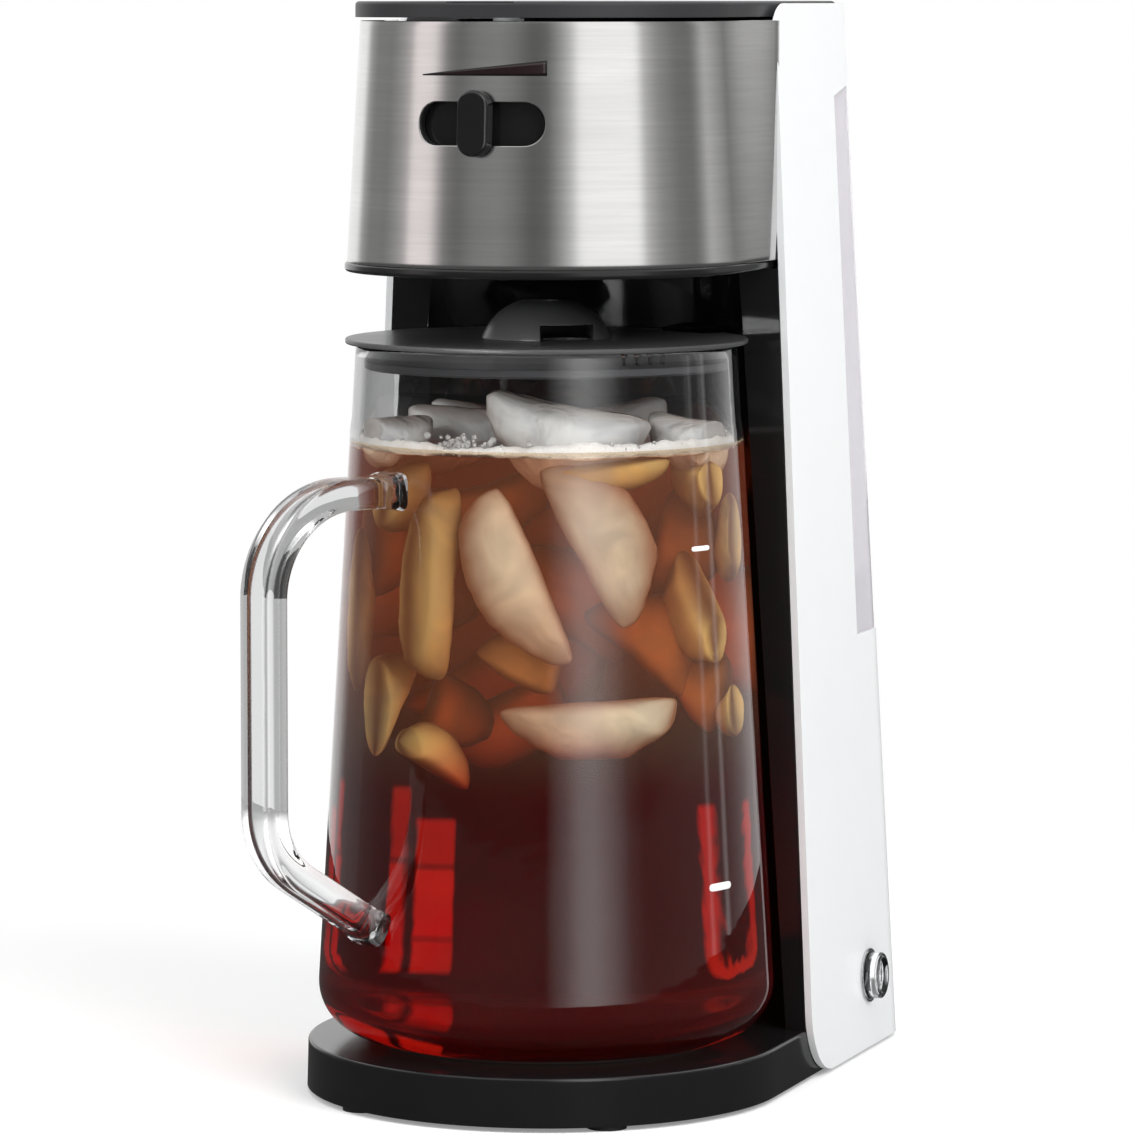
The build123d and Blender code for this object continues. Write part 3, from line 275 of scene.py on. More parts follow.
def add_node(tree, kind, values=None, **settings):
    """A node with some of its settings and input values."""
    made = tree.nodes.new(kind)
    for key, value in settings.items():
        setattr(made, key, value)
    for key, value in (values or {}).items():
        if isinstance(value, bpy.types.NodeSocket):
            tree.links.new(value, made.inputs[key])
        else:
            made.inputs[key].default_value = value
    return made


def calc(tree, operation, *values, clamp=False):
    """One step of arithmetic on numbers and sockets, given in the order of the node's inputs."""
    return add_node(tree, "ShaderNodeMath", dict(enumerate(values)), operation=operation, use_clamp=clamp).outputs[0]


def ranged(tree, value, low, high, start=0.0, stop=1.0, **settings):
    """A value between start and stop spread from low to high."""
    spread = {"Value": value, "From Min": start, "From Max": stop, "To Min": low, "To Max": high}
    return add_node(tree, "ShaderNodeMapRange", spread, **settings).outputs[0]


def mixed(tree, factor, a, b):
    """Colour a where the factor is 0 and b where it is 1."""
    made = add_node(tree, "ShaderNodeMix", {"Factor": factor}, data_type="RGBA")
    for socket, value in ((made.inputs[6], a), (made.inputs[7], b)):
        if isinstance(value, bpy.types.NodeSocket):
            tree.links.new(value, socket)
        else:
            socket.default_value = (*value, 1.0)
    return made.outputs[2]


def place_in(tree):
    """The point in the object's own coordinates."""
    return add_node(tree, "ShaderNodeTexCoord").outputs["Object"]


def height_in(tree):
    """The point's height in the object's own coordinates."""
    return add_node(tree, "ShaderNodeSeparateXYZ", {0: place_in(tree)}).outputs["Z"]


def height_blend(tree, low, high):
    """0 at the height low and 1 at high, in metres, with a soft start and end."""
    return ranged(tree, height_in(tree), 0.0, 1.0, low, high, interpolation_type="SMOOTHSTEP")


def noise(tree, place, scale, detail, **values):
    """Noise from 0 to 1 at a place."""
    return add_node(tree, "ShaderNodeTexNoise",
                    {"Vector": place, "Scale": scale, "Detail": detail, **values}).outputs["Fac"]


def stretched(tree, place, by):
    """A place scaled along each axis."""
    return add_node(tree, "ShaderNodeVectorMath", {0: place, 1: by}, operation="MULTIPLY").outputs["Vector"]


def bumped(tree, height, depth, **values):
    """The normal of a skin whose height runs over depth, in millimetres."""
    return add_node(tree, "ShaderNodeBump", {"Height": height, "Distance": depth * MM, **values}).outputs[0]


def principled(tree, **values):
    """The Principled shader; its inputs are named with underscores for spaces."""
    named = {key.replace("_", " "): value for key, value in values.items()}
    return add_node(tree, "ShaderNodeBsdfPrincipled", named).outputs[0]


def glowing(tree, strength, tone=(1.0, 1.0, 1.0, 1.0)):
    """A shader that only gives light."""
    return add_node(tree, "ShaderNodeEmission", {"Color": tone, "Strength": strength}).outputs[0]


def added(tree, a, b):
    """Both shaders at once."""
    return add_node(tree, "ShaderNodeAddShader", {0: a, 1: b}).outputs[0]


def new_group(name, inputs, outputs):
    """An empty shader group with named sockets; inputs are (name, kind, default) and outputs (name, kind)."""
    tree = bpy.data.node_groups.new(name, "ShaderNodeTree")
    for label, kind, default in inputs:
        made = tree.interface.new_socket(label, in_out="INPUT", socket_type="NodeSocket" + kind)
        made.default_value = default
    for label, kind in outputs:
        tree.interface.new_socket(label, in_out="OUTPUT", socket_type="NodeSocket" + kind)
    return tree, tree.nodes.new("NodeGroupInput").outputs, tree.nodes.new("NodeGroupOutput").inputs


def use_group(tree, name, **values):
    """A shared effect placed in a tree; its inputs are named with underscores for spaces."""
    made = tree.nodes.new("ShaderNodeGroup")
    made.node_tree = bpy.data.node_groups[name]
    for key, value in values.items():
        made.inputs[key.replace("_", " ")].default_value = value
    return made.outputs


def moulded_grain():
    """Group: the fine pebbled skin of a moulding, and broad patches where hands and tools left it smoother."""
    tree, given, out = new_group(
        "Moulded Grain",
        [("Grain Scale", "Float", 1800.0), ("Patch Scale", "Float", 22.0)],
        [("Height", "Float"), ("Patches", "Float")],
    )
    place = place_in(tree)
    cells = add_node(tree, "ShaderNodeTexVoronoi", {"Vector": place, "Scale": given["Grain Scale"]})
    fine = noise(tree, place, given["Grain Scale"], 2.0)
    broad = noise(tree, place, given["Patch Scale"], 3.0)
    tree.links.new(calc(tree, "ADD", cells.outputs["Distance"], fine), out["Height"])
    tree.links.new(ranged(tree, broad, 0.0, 1.0, 0.2, 0.8), out["Patches"])
    return tree


def soft_edge():
    """Group: the normal with its edges rounded, and a mask of those edges, along which a painted highlight is laid."""
    tree, given, out = new_group("Soft Edge", [("Radius", "Float", 0.0004)], [("Normal", "Vector"), ("Edge", "Float")])
    rounded = add_node(tree, "ShaderNodeBevel", {"Radius": given["Radius"]}, samples=6).outputs[0]
    plain = add_node(tree, "ShaderNodeNewGeometry").outputs["Normal"]
    same = add_node(tree, "ShaderNodeVectorMath", {0: rounded, 1: plain}, operation="DOT_PRODUCT").outputs["Value"]
    tree.links.new(rounded, out["Normal"])
    tree.links.new(ranged(tree, same, 0.0, 1.0, 1.0, 0.8), out["Edge"])
    return tree


def brushed_lines():
    """Group: fine level lines of a brushed sheet, from noise drawn out along X and Y."""
    tree, given, out = new_group(
        "Brushed Lines", [("Line Scale", "Float", 950.0), ("Run", "Float", 26.0)],
        [("Height", "Float"), ("Shade", "Float")],
    )
    stretch = add_node(tree, "ShaderNodeCombineXYZ", {"X": given["Run"], "Y": given["Run"], "Z": given["Line Scale"]})
    drawn = stretched(tree, place_in(tree), stretch.outputs[0])
    lines = noise(tree, drawn, 1.0, 3.0, Roughness=0.7)
    bands = noise(tree, stretched(tree, drawn, (0.6, 0.6, 0.12)), 1.0, 2.0)
    tree.links.new(lines, out["Height"])
    tree.links.new(calc(tree, "MULTIPLY", lines, bands), out["Shade"])
    return tree


def fluid_swirl():
    """Group: soft swirls of a liquid or of clouded ice, from noise whose place is itself stirred by noise."""
    tree, given, out = new_group("Fluid Swirl", [("Swirl Scale", "Float", 30.0), ("Stir", "Float", 0.6)],
                                 [("Swirl", "Float"), ("Grain", "Float")])
    place = place_in(tree)
    stirred = noise(tree, place, given["Swirl Scale"], 3.0, Distortion=given["Stir"])
    tree.links.new(ranged(tree, stirred, 0.0, 1.0, 0.32, 0.68), out["Swirl"])
    tree.links.new(noise(tree, place, 420.0, 3.0), out["Grain"])
    return tree


def tea_tone():
    """Group: the tea's colour, red at the foot and amber towards the ice, with slow swirls between."""
    tree, _, out = new_group("Tea Tone", [], [("Color", "Color"), ("Swirl", "Float"), ("Grain", "Float")])
    swirl = use_group(tree, "Fluid Swirl", Swirl_Scale=18.0, Stir=1.2)
    stirred = calc(tree, "MULTIPLY_ADD", swirl["Swirl"], 0.16, height_blend(tree, TONE_LOW, TONE_HIGH))
    tree.links.new(mixed(tree, stirred, colours().tea_low, colours().tea_top), out["Color"])
    tree.links.new(swirl["Swirl"], out["Swirl"])
    tree.links.new(swirl["Grain"], out["Grain"])
    return tree


def new_material(name):
    """An empty node material and its tree."""
    made = bpy.data.materials.new(name)
    made.use_nodes = True
    made.node_tree.nodes.clear()
    return made, made.node_tree


def surface(tree, shader):
    """The material's output, with a shader put on its surface."""
    out = tree.nodes.new("ShaderNodeOutputMaterial")
    tree.links.new(shader, out.inputs["Surface"])
    return out


def shades(base, darker, lighter):
    """A colour made darker and lighter by two factors, and kept below white."""
    return [c * darker for c in base], [min(1.0, c * lighter) for c in base]


def moulded(name, base, rough, depth=0.004, grain=1800.0, edge=1.0, light=1.25, sheen_level=0.5, metal=0.0,
            spread=0.05, mottle=0.07):
    """A hard moulded or metal finish: grain as bump, patches in colour and roughness, and a painted highlight that
    makes the soft edges lighter.
    """
    made, tree = new_material(name)
    skin = use_group(tree, "Moulded Grain", Grain_Scale=grain)
    rim = use_group(tree, "Soft Edge", Radius=sizes().edge_soft * edge)
    worn = mixed(tree, skin["Patches"], *shades(base, 1 - mottle, 1 + mottle))
    # painted highlight: where the edge mask is 1 the colour is lifted by the factor light
    surface(tree, principled(
        tree, Base_Color=mixed(tree, rim["Edge"], worn, shades(base, 1.0, light)[1]),
        Roughness=ranged(tree, skin["Patches"], rough + spread, max(0.02, rough - spread)),
        Normal=bumped(tree, skin["Height"], depth, Normal=rim["Normal"]),
        Metallic=metal, Specular_IOR_Level=sheen_level))
    return made


def brushed(name, base, rough, depth):
    """Brushed steel: level lines in bump, colour and roughness."""
    made, tree = new_material(name)
    lines = use_group(tree, "Brushed Lines")
    skin = use_group(tree, "Moulded Grain", Grain_Scale=900.0, Patch_Scale=9.0)
    surface(tree, principled(
        tree, Base_Color=mixed(tree, lines["Shade"], *shades(base, 0.82, 1.2)),
        Roughness=ranged(tree, skin["Patches"], rough + 0.03, rough - 0.03),
        Normal=bumped(tree, lines["Height"], depth, Strength=0.3), Metallic=1.0))
    return made


def clear(name, base, rough, ior, ripple, tint=(1.0, 1.0, 1.0), film=0.012, through=1.0):
    """A clear finish with faint ripples and handling marks; light passes to what is inside."""
    made, tree = new_material(name)
    swirl = use_group(tree, "Fluid Swirl", Swirl_Scale=26.0)
    skin = use_group(tree, "Moulded Grain", Grain_Scale=700.0)
    shader = principled(
        tree, Base_Color=mixed(tree, swirl["Swirl"], base, [c * 0.985 for c in base]),
        Roughness=ranged(tree, skin["Patches"], rough, rough + film),
        Normal=bumped(tree, swirl["Swirl"], ripple), IOR=ior, Transmission_Weight=through)
    surface(tree, let_light_in(tree, shader, tint))
    return made


def let_light_in(tree, shader, tint, passes=None):
    """The shader, but open to light on its way to what is inside; and open to all rays where passes is 1."""
    way = add_node(tree, "ShaderNodeLightPath").outputs["Is Shadow Ray"]
    if passes:
        way = calc(tree, "MAXIMUM", way, passes)
    open_way = add_node(tree, "ShaderNodeBsdfTransparent", {"Color": (*tint, 1.0)})
    return add_node(tree, "ShaderNodeMixShader", {0: way, 1: shader, 2: open_way.outputs[0]}).outputs[0]


def wet_finish():
    """The inner face of the glass where the tea wets it: light turns there by the ratio of glass to tea, and a faint
    warm painted glow, an emission, stands in for the light that the tea scatters back."""
    made, tree = new_material("Wetted Glass")
    # painted glow: the emission stands in for light scattered back by the tea, stronger higher up
    shader = principled(
        tree, Base_Color=use_group(tree, "Tea Tone")["Color"], Roughness=0.0, IOR=WET_IOR, Transmission_Weight=0.97,
        Emission_Color=mixed(tree, height_blend(tree, GLOW_LOW, GLOW_HIGH), (0.003, 0.0, 0.0), (0.055, 0.011, 0.0025)),
        Emission_Strength=1.0)
    surface(tree, let_light_in(tree, shader, (1.0, 0.97, 0.93)))
    return made


def tea_finish():
    """Tea: a clear body that darkens what lies deep; its skin shows only on top, where it meets the air."""
    made, tree = new_material("Tea")
    drink = use_group(tree, "Tea Tone")
    shader = principled(
        tree, Base_Color=drink["Color"], Roughness=ranged(tree, drink["Grain"], 0.0, 0.03),
        Normal=bumped(tree, drink["Swirl"], 0.05), IOR=TEA_IOR, Transmission_Weight=0.93)
    sunk = calc(tree, "LESS_THAN", height_in(tree), tea_top() - 0.3 * MM)
    out = surface(tree, let_light_in(tree, shader, (1.0, 0.98, 0.96), sunk))
    body = add_node(tree, "ShaderNodeVolumeAbsorption", {"Color": (0.80, 0.34, 0.16, 1.0), "Density": 26.0})
    tree.links.new(body.outputs[0], out.inputs["Volume"])
    return made


def ice_finish(name, base, dark, transmission, rough, falloff, by_core=True, relief=0.7):
    """Clouded ice with milky swirls and a worn wet skin. Painted shade makes it darker at its edges, towards the colour
    dark, and leaves it pale at its core (or, above the tea, where it faces the view)."""
    made, tree = new_material(name)
    swirl = use_group(tree, "Fluid Swirl", Swirl_Scale=55.0, Stir=0.9)
    if by_core:
        core = add_node(tree, "ShaderNodeAttribute", attribute_name="core").outputs["Fac"]
        rim = calc(tree, "SUBTRACT", 1.0, core, clamp=True)
    else:
        rim = add_node(tree, "ShaderNodeLayerWeight", {"Blend": 0.45}).outputs["Facing"]
    milky = [x * (0.94 - 0.3 * x) for x in (base[0], base[1] * 1.1, base[2] * 1.25)]
    cloud = mixed(tree, swirl["Swirl"], milky, shades(base, 1.0, 1.12)[1])
    # painted shade: the rim mask darkens the ice towards the colour dark
    surface(tree, principled(
        tree, Base_Color=mixed(tree, calc(tree, "POWER", rim, falloff), cloud, dark),
        Roughness=ranged(tree, swirl["Grain"], rough, rough + 0.15),
        Normal=bumped(tree, swirl["Swirl"], relief, Strength=relief / 2),
        IOR=ICE_IOR, Transmission_Weight=transmission))
    return made


def foam_finish():
    """Fine froth: pale, pitted by small bubbles."""
    made, tree = new_material("Froth")
    pits = add_node(tree, "ShaderNodeTexVoronoi", {"Vector": place_in(tree), "Scale": 1400.0})
    swirl = use_group(tree, "Fluid Swirl", Swirl_Scale=60.0)
    surface(tree, principled(
        tree, Base_Color=mixed(tree, swirl["Swirl"], (0.84, 0.76, 0.68), (0.97, 0.95, 0.92)),
        Roughness=ranged(tree, swirl["Grain"], 0.3, 0.5), Normal=bumped(tree, pits.outputs["Distance"], 0.25),
        Transmission_Weight=0.2, IOR=1.2))
    return made


def bubble_finish():
    """Single bubbles: pale glassy skins."""
    made, tree = new_material("Bubbles")
    swirl = use_group(tree, "Fluid Swirl", Swirl_Scale=300.0)
    surface(tree, principled(
        tree, Base_Color=mixed(tree, swirl["Swirl"], (0.86, 0.82, 0.78), (0.98, 0.97, 0.95)),
        Roughness=ranged(tree, swirl["Grain"], 0.05, 0.15), Transmission_Weight=0.7, IOR=1.25))
    return made


def print_finish(name, base, rough):
    """Printed ink: slightly mottled colour with a faint stipple."""
    return moulded(name, base, rough, depth=0.002, grain=5200.0, edge=0.1, light=1.0, spread=0.04)


# light is how much the painted highlight lifts the colour along soft edges; 1.0 paints none
FINISHES = {
    "gloss_black": ("Gloss Black Moulding", "gloss", dict(rough=0.16, depth=0.0015, light=2.2, sheen_level=0.42)),
    "satin_black": ("Satin Black Moulding", "satin", dict(rough=0.36, depth=0.006, light=2.0, sheen_level=0.45)),
    "charcoal": ("Charcoal Moulding", "charcoal", dict(rough=0.42, depth=0.008, light=1.6, sheen_level=0.45)),
    "white_shell": ("White Moulding", "white",
                    dict(rough=0.3, depth=0.001, edge=0.2, light=1.0, spread=0.01, mottle=0.008)),
    "polished_black": ("Polished Black Moulding", "gloss",
                       dict(rough=0.05, depth=0.0002, light=2.2, spread=0.015, sheen_level=0.3)),
    "lid_black": ("Lid Moulding", (0.046, 0.046, 0.047), dict(rough=0.3, depth=0.003, light=1.6)),
    "collar_black": ("Collar Moulding", (0.018, 0.018, 0.018), dict(rough=0.4, depth=0.003, light=1.5)),
    "knob_black": ("Polished Knob", "gloss", dict(rough=0.12, depth=0.001, light=2.4, spread=0.02)),
    "steel": ("Plain Steel", "steel", dict(rough=0.3, metal=1.0, light=1.1)),
    "silver_trim": ("Silver Trim", (0.62, 0.62, 0.64), dict(rough=0.22, metal=1.0, light=1.2)),
    "grey_rubber": ("Grey Rubber", (0.09, 0.09, 0.095), dict(rough=0.75, depth=0.01, light=1.3)),
    "black_rubber": ("Black Rubber", (0.018, 0.018, 0.018), dict(rough=0.7, depth=0.012, light=1.5)),
    "bright_metal": ("Bright Metal", (0.72, 0.72, 0.73), dict(rough=0.2, metal=1.0, light=1.1)),
    "zinc_steel": ("Zinc Plate", (0.5, 0.51, 0.52), dict(rough=0.38, metal=1.0, depth=0.006, light=1.2)),
    "brass": ("Brass", (0.66, 0.49, 0.2), dict(rough=0.28, metal=1.0, light=1.2)),
    "silicone": ("Milky Silicone", (0.62, 0.60, 0.56), dict(rough=0.5, depth=0.006, light=1.1)),
    "natural_plastic": ("Natural Plastic", (0.55, 0.53, 0.48), dict(rough=0.45, depth=0.005, light=1.1)),
    "basket_black": ("Basket Black", (0.012, 0.012, 0.012), dict(rough=0.42, depth=0.007, light=1.8)),
    "mesh_grey": ("Filter Mesh Grey", (0.2, 0.2, 0.19), dict(rough=0.55, depth=0.03, grain=1200.0, light=1.3)),
}
# nodes whose finish differs from that of their slot
NODE_FINISHES = {"bay_wall": "polished_black", "slider_knob": "knob_black", "slider_carriage": "knob_black",
                 "jug_lid_plate": "lid_black", "jug_lid_grip": "lid_black", "jug_lid_collar": "collar_black"}
CLEAR_FINISHES = {
    "jug_glass": ("Jug Glass", dict(base=(0.985, 0.99, 0.99), rough=0.0, ior=GLASS_IOR, ripple=0.05)),
    "window_clear": ("Window Plastic", dict(base=(0.90, 0.88, 0.92), rough=0.06, ior=1.3, ripple=0.03, film=0.05,
                                            tint=(0.86, 0.84, 0.88), through=0.5)),
    "button_clear": ("Button Plastic", dict(base=(0.95, 0.95, 0.96), rough=0.02, ior=GLASS_IOR, ripple=0.02)),
    "smoke_clear": ("Smoky Tank Plastic", dict(base=(0.78, 0.76, 0.80), rough=0.08, ior=1.25, ripple=0.04, film=0.06,
                                               tint=(0.7, 0.68, 0.72))),
}


def finish_for(slot):
    """The material of a record slot, made when it is first needed."""
    if slot in CLEAR_FINISHES:
        name, values = CLEAR_FINISHES[slot]
        return bpy.data.materials.get(name) or clear(name, **values)
    name, base, values = FINISHES[slot]
    if isinstance(base, str):
        base = getattr(colours(), base)
    return bpy.data.materials.get(name) or moulded(name, tuple(base), **values)


# ------------------------------------------------------------------ operators, one for each group of pieces


class TEAMAKER_OT_dress(bpy.types.Operator):
    """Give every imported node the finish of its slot"""

    bl_idname = "teamaker.dress"
    bl_label = "Dress the Packed Nodes"

    def execute(self, context):
        for make in (moulded_grain, soft_edge, brushed_lines, fluid_swirl, tea_tone):
            make()
        for name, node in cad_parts.items():
            for held in node.material_slots:
                slot = NODE_FINISHES.get(name, held.material.name.split(".")[0])
                if slot not in FINISHES and slot not in CLEAR_FINISHES:
                    raise RuntimeError(f"node {node.name} has a slot with no finish: {slot}")
                held.material = finish_for(slot)
        return {"FINISHED"}


class TEAMAKER_OT_jug(bpy.types.Operator):
    """Blow the glass jug with its rounded rim and pour lip"""

    bl_idname = "teamaker.jug"
    bl_label = "Glass Jug"

    def execute(self, context):
        # The outline runs up the outer wall, over a half-round rim and down the inner wall; it is turned round the
        # axis, and lip_push is added to its radius.
        s = sizes()
        half = s.jug_wall / 2
        lean = math.degrees(math.atan2(s.jug_low - s.jug_rim, RIM_Z - FOOT_Z))
        rim_mid = jug_radius(RIM_Z - half) - half
        outer = cup_outline(s.jug_low, jug_radius(RIM_Z - half), FOOT_Z, RIM_Z - half, s.jug_corner, 72)
        floor = FOOT_Z + s.jug_floor
        inner = cup_outline(jug_radius(floor) - s.jug_wall, jug_radius(RIM_Z - half) - s.jug_wall, floor,
                            RIM_Z - half, s.jug_corner - s.jug_wall, 72)
        rim = arc((rim_mid, RIM_Z - half), half, lean, 180 + lean, 11)
        outline = np.concatenate([outer, rim, inner[::-1]])
        angle = np.linspace(0, 360, 240, endpoint=False)
        ring = outline[1:-1]
        radius = ring[:, :1] + lip_push(angle[None] - LIP_TURN, ring[:, 1:])
        rings = around_axis(radius, angle[None], ring[:, 1:])
        points, faces = capped_rings(rings, (0, 0, outline[0, 1]), (0, 0, outline[-1, 1]))
        wall = add_mesh("jug_wall", points, faces, finish_for("jug_glass"), "jug", ["glass_jug"])
        wall.data.materials.append(wet_finish())
        creep = 1.2 * MM  # how far up the wall the tea wets the glass
        wet = (np.arange(len(ring)) > len(outer) + len(rim) - 2) & (ring[:, 1] < tea_top() + creep)
        row = np.concatenate([f.min(axis=1) // len(angle) for f in faces])
        wall.data.polygons.foreach_set("material_index", wet[row].astype(np.int32))
        return {"FINISHED"}


def rounded_route(corners, radii, step):
    """Points and directions along straight runs joined by tangent arcs, in the plane of radius and height."""
    corners = [np.array(c, float) for c in corners]
    points, here = [], corners[0]
    for i, bend in enumerate(radii, start=1):
        before = corners[i - 1] - corners[i]
        after = corners[i + 1] - corners[i]
        before, after = before / np.linalg.norm(before), after / np.linalg.norm(after)
        half = math.acos(np.clip(before @ after, -1, 1)) / 2
        start = corners[i] + before * bend / math.tan(half)
        centre = corners[i] + (before + after) / np.linalg.norm(before + after) * bend / math.sin(half)
        points.append(straight(here, start, max(2, round(np.linalg.norm(start - here) / step))))
        a0 = math.atan2(*(start - centre)[::-1])
        end = corners[i] + after * bend / math.tan(half)
        a1 = math.atan2(*(end - centre)[::-1])
        turn = (a1 - a0 + math.pi) % (2 * math.pi) - math.pi
        t = np.linspace(a0, a0 + turn, max(3, round(abs(turn) * bend / step)), endpoint=False)
        points.append(centre + bend * np.stack([np.cos(t), np.sin(t)], -1))
        here = end
    count = max(2, round(np.linalg.norm(corners[-1] - here) / step))
    points.append(np.concatenate([straight(here, corners[-1], count), [corners[-1]]]))
    points = np.concatenate(points)
    ahead = np.gradient(points, axis=0)
    return points, ahead / np.linalg.norm(ahead, axis=1, keepdims=True)


class TEAMAKER_OT_handle(bpy.types.Operator):
    """Draw the glass handle and fuse it to the jug"""

    bl_idname = "teamaker.handle"
    bl_label = "Jug Handle"

    def execute(self, context):
        # The section is a rounded oblong: half the width times cos t to the power 0.42, with its sign kept, and half
        # the thickness times sin t likewise. It swells by 1 + 0.2 exp(-(d / 2.6 mm)^2) at a distance d from an end.
        s = sizes()
        z_top, z_knee, z_foot, sink = 188.5 * MM, 82.0 * MM, 57.0 * MM, 0.4 * MM
        start, end = jug_radius(z_top) - sink, jug_radius(z_foot) - sink
        slope = (z_knee - z_foot) / (s.handle_reach - end)
        route, ahead = rounded_route(
            [(start, z_top), (s.handle_reach, z_top), (s.handle_reach, z_knee), (end, z_foot - slope * sink)],
            [30.0 * MM, 25.0 * MM], 2.2 * MM)
        along = np.concatenate([[0], np.cumsum(np.linalg.norm(np.diff(route, axis=0), axis=1))])
        near_end = np.minimum(along, along[-1] - along)
        swell = 1 + 0.2 * np.exp(-((near_end / (2.6 * MM)) ** 2))
        t = np.linspace(0, 2 * math.pi, 56, endpoint=False)
        across, through = (half * np.sign(wave) * np.abs(wave) ** 0.42 for half, wave in
                           ((s.handle_width / 2, np.cos(t)), (s.handle_thick / 2, np.sin(t))))
        side = np.stack([-ahead[:, 1], ahead[:, 0]], -1)
        flat = route[:, None] + side[:, None] * (through[None] * swell[:, None])[..., None]
        a = math.radians(HANDLE_TURN)
        out = np.array([math.sin(a), -math.cos(a), 0.0])
        beside = np.array([math.cos(a), math.sin(a), 0.0])
        rings = flat[..., :1] * out + (across[None] * swell[:, None])[..., None] * beside
        rings[..., 2] = flat[..., 1]
        middle = route[:, :1] * out
        middle[:, 2] = route[:, 1]
        points, faces = capped_rings(rings, middle[0], middle[-1])
        add_mesh("jug_handle_strap", points, faces, finish_for("jug_glass"), "jug", ["jug_handle"])
        return {"FINISHED"}


def tea_top():
    """Height of the tea's surface."""
    s = sizes()
    return FOOT_Z + s.jug_floor + s.tea_depth


class TEAMAKER_OT_tea(bpy.types.Operator):
    """Fill the jug with tea, with a meniscus along the wall"""

    bl_idname = "teamaker.tea"
    bl_label = "Tea"

    def execute(self, context):
        # The sides lie a little inside the glass. On top the meniscus is climb times exp(-d / 1.1 mm) at a distance
        # d from the wall.
        s = sizes()
        into, climb = 0.25 * MM, 1.0 * MM
        floor = FOOT_Z + s.jug_floor - into
        top = tea_top() + climb
        edge = jug_radius(top) - s.jug_wall + into
        wall = cup_outline(jug_radius(floor) - s.jug_wall + into, edge, floor, top, s.jug_corner - s.jug_wall, 60)
        r = edge * (1 - np.linspace(0, 1, 24)[:, None])
        skin = np.concatenate([r, tea_top() + climb * np.exp(-((edge - r) / (1.1 * MM)))], -1)
        outline = np.concatenate([wall, skin])
        angle = np.linspace(0, 360, 160, endpoint=False)
        rings = around_axis(outline[1:-1, :1], angle[None], outline[1:-1, 1:])
        points, faces = capped_rings(rings, (0, 0, outline[0, 1]), (0, 0, outline[-1, 1]))
        add_mesh("tea", points, faces, tea_finish(), "jug")
        return {"FINISHED"}


def placed(across, near, z):
    """A point given by its distance to the right, its distance towards the layout side, and its height, in mm."""
    return VIEW_RIGHT * across * MM + VIEW_NEAR * near * MM + np.array([0, 0, z * MM])


def crescent(across, near, z, long, wide, thick, lean, bow, twist, seed):
    """A half-moon of ice: a spindle, fuller on its outer side, whose spine bows by bow times the square of its
    length, lumpy by random waves; lean turns it in the view's plane and twist about the upright."""
    rng = np.random.default_rng(seed)
    u = np.linspace(0, math.pi, 34)[1:-1, None]
    v = np.linspace(0, 2 * math.pi, 40, endpoint=False)[None]
    along = -np.cos(u) * np.ones_like(v)
    fat = np.sin(u) ** 1.05
    share = 0.5 + 0.2 * np.sign(bow) * np.tanh(2 * np.cos(v))
    local = np.stack([along * long / 2, fat * np.cos(v) * wide * share, fat * np.sin(v) * thick / 2], -1)
    local[..., 1] += bow * wide * (0.5 - along ** 2)
    for size, depth in ((0.14, 0.028), (0.38, 0.011), (0.9, 0.004)):
        waves, phases = rng.normal(size=(6, 3)) * size, rng.uniform(0, 2 * math.pi, 6)
        lumps = sum(np.sin(local @ w + p) for w, p in zip(waves, phases))
        local = local * (1 + depth * lumps[..., None] * fat[..., None] ** 0.5)
    tips = np.array([[-long / 2, bow * wide * -0.5, 0], [long / 2, bow * wide * -0.5, 0]])
    a, b = math.radians(lean), math.radians(twist)
    leant = np.array([[math.sin(a), 0, math.cos(a)], [math.cos(a), 0, -math.sin(a)], [0, 1, 0]])
    turned = np.array([[math.cos(b), math.sin(b), 0], [-math.sin(b), math.cos(b), 0], [0, 0, 1]])
    world = np.array([VIEW_RIGHT, VIEW_NEAR, [0, 0, 1.0]])
    rings, ends = ((points @ (leant @ turned)) @ world * MM + placed(across, near, z) for points in (local, tips))
    return capped_rings(rings, *ends)


# how far each point of a crescent is from its rim: 1 in the middle of its broad sides, 0 at its rim and tips; painted
# shade darkens the ice where it is low
CORE = np.append(np.sin(np.linspace(0, math.pi, 34)[1:-1, None]) ** 0.6 *
                 (1 - 0.9 * np.abs(np.cos(np.linspace(0, 2 * math.pi, 40, endpoint=False)))[None] ** 2.6),
                 [0.0, 0.0]).astype(np.float32)

# across, near, height, length, width, thickness, lean, bow, twist; millimetres and degrees
NEAR_ICE = [
    (12.5, 46.0, 173.0, 52.0, 22.0, 15.0, -27.0, 0.16, 8.0),
    (-6.0, 48.0, 163.0, 56.0, 21.0, 15.0, -22.0, -0.16, -6.0),
    (13.5, 49.0, 122.5, 53.0, 18.0, 13.0, 86.0, 0.20, 4.0),
]
MIDDLE_ICE = [
    (-30.0, 41.0, 161.0, 58.0, 21.0, 14.0, 5.0, -0.24, -22.0),
    (-8.0, 34.0, 135.0, 24.0, 16.0, 14.0, -60.0, 0.1, 0.0),
    (44.0, 30.0, 152.0, 39.0, 20.0, 15.0, -42.0, -0.28, 40.0),
    (44.0, 28.0, 193.0, 30.0, 15.0, 14.0, 88.0, 0.25, 40.0),
    (50.5, 16.0, 172.0, 28.0, 15.0, 12.0, 8.0, 0.2, 55.0),
    (52.5, 24.0, 122.0, 21.0, 14.0, 12.0, 60.0, 0.2, 50.0),
    (-43.0, 28.0, 190.0, 32.0, 18.0, 15.0, 80.0, 0.2, -40.0),
    (-45.0, 32.0, 124.0, 34.0, 18.0, 14.0, 35.0, -0.3, -40.0),
    (-52.0, 16.0, 150.0, 50.0, 12.0, 12.0, 4.0, -0.1, -60.0),
    (-34.0, 44.0, 108.0, 32.0, 14.0, 13.0, -62.0, 0.25, -20.0),
    (17.0, 43.0, 195.5, 38.0, 10.0, 14.0, 84.0, 0.1, 0.0),
]
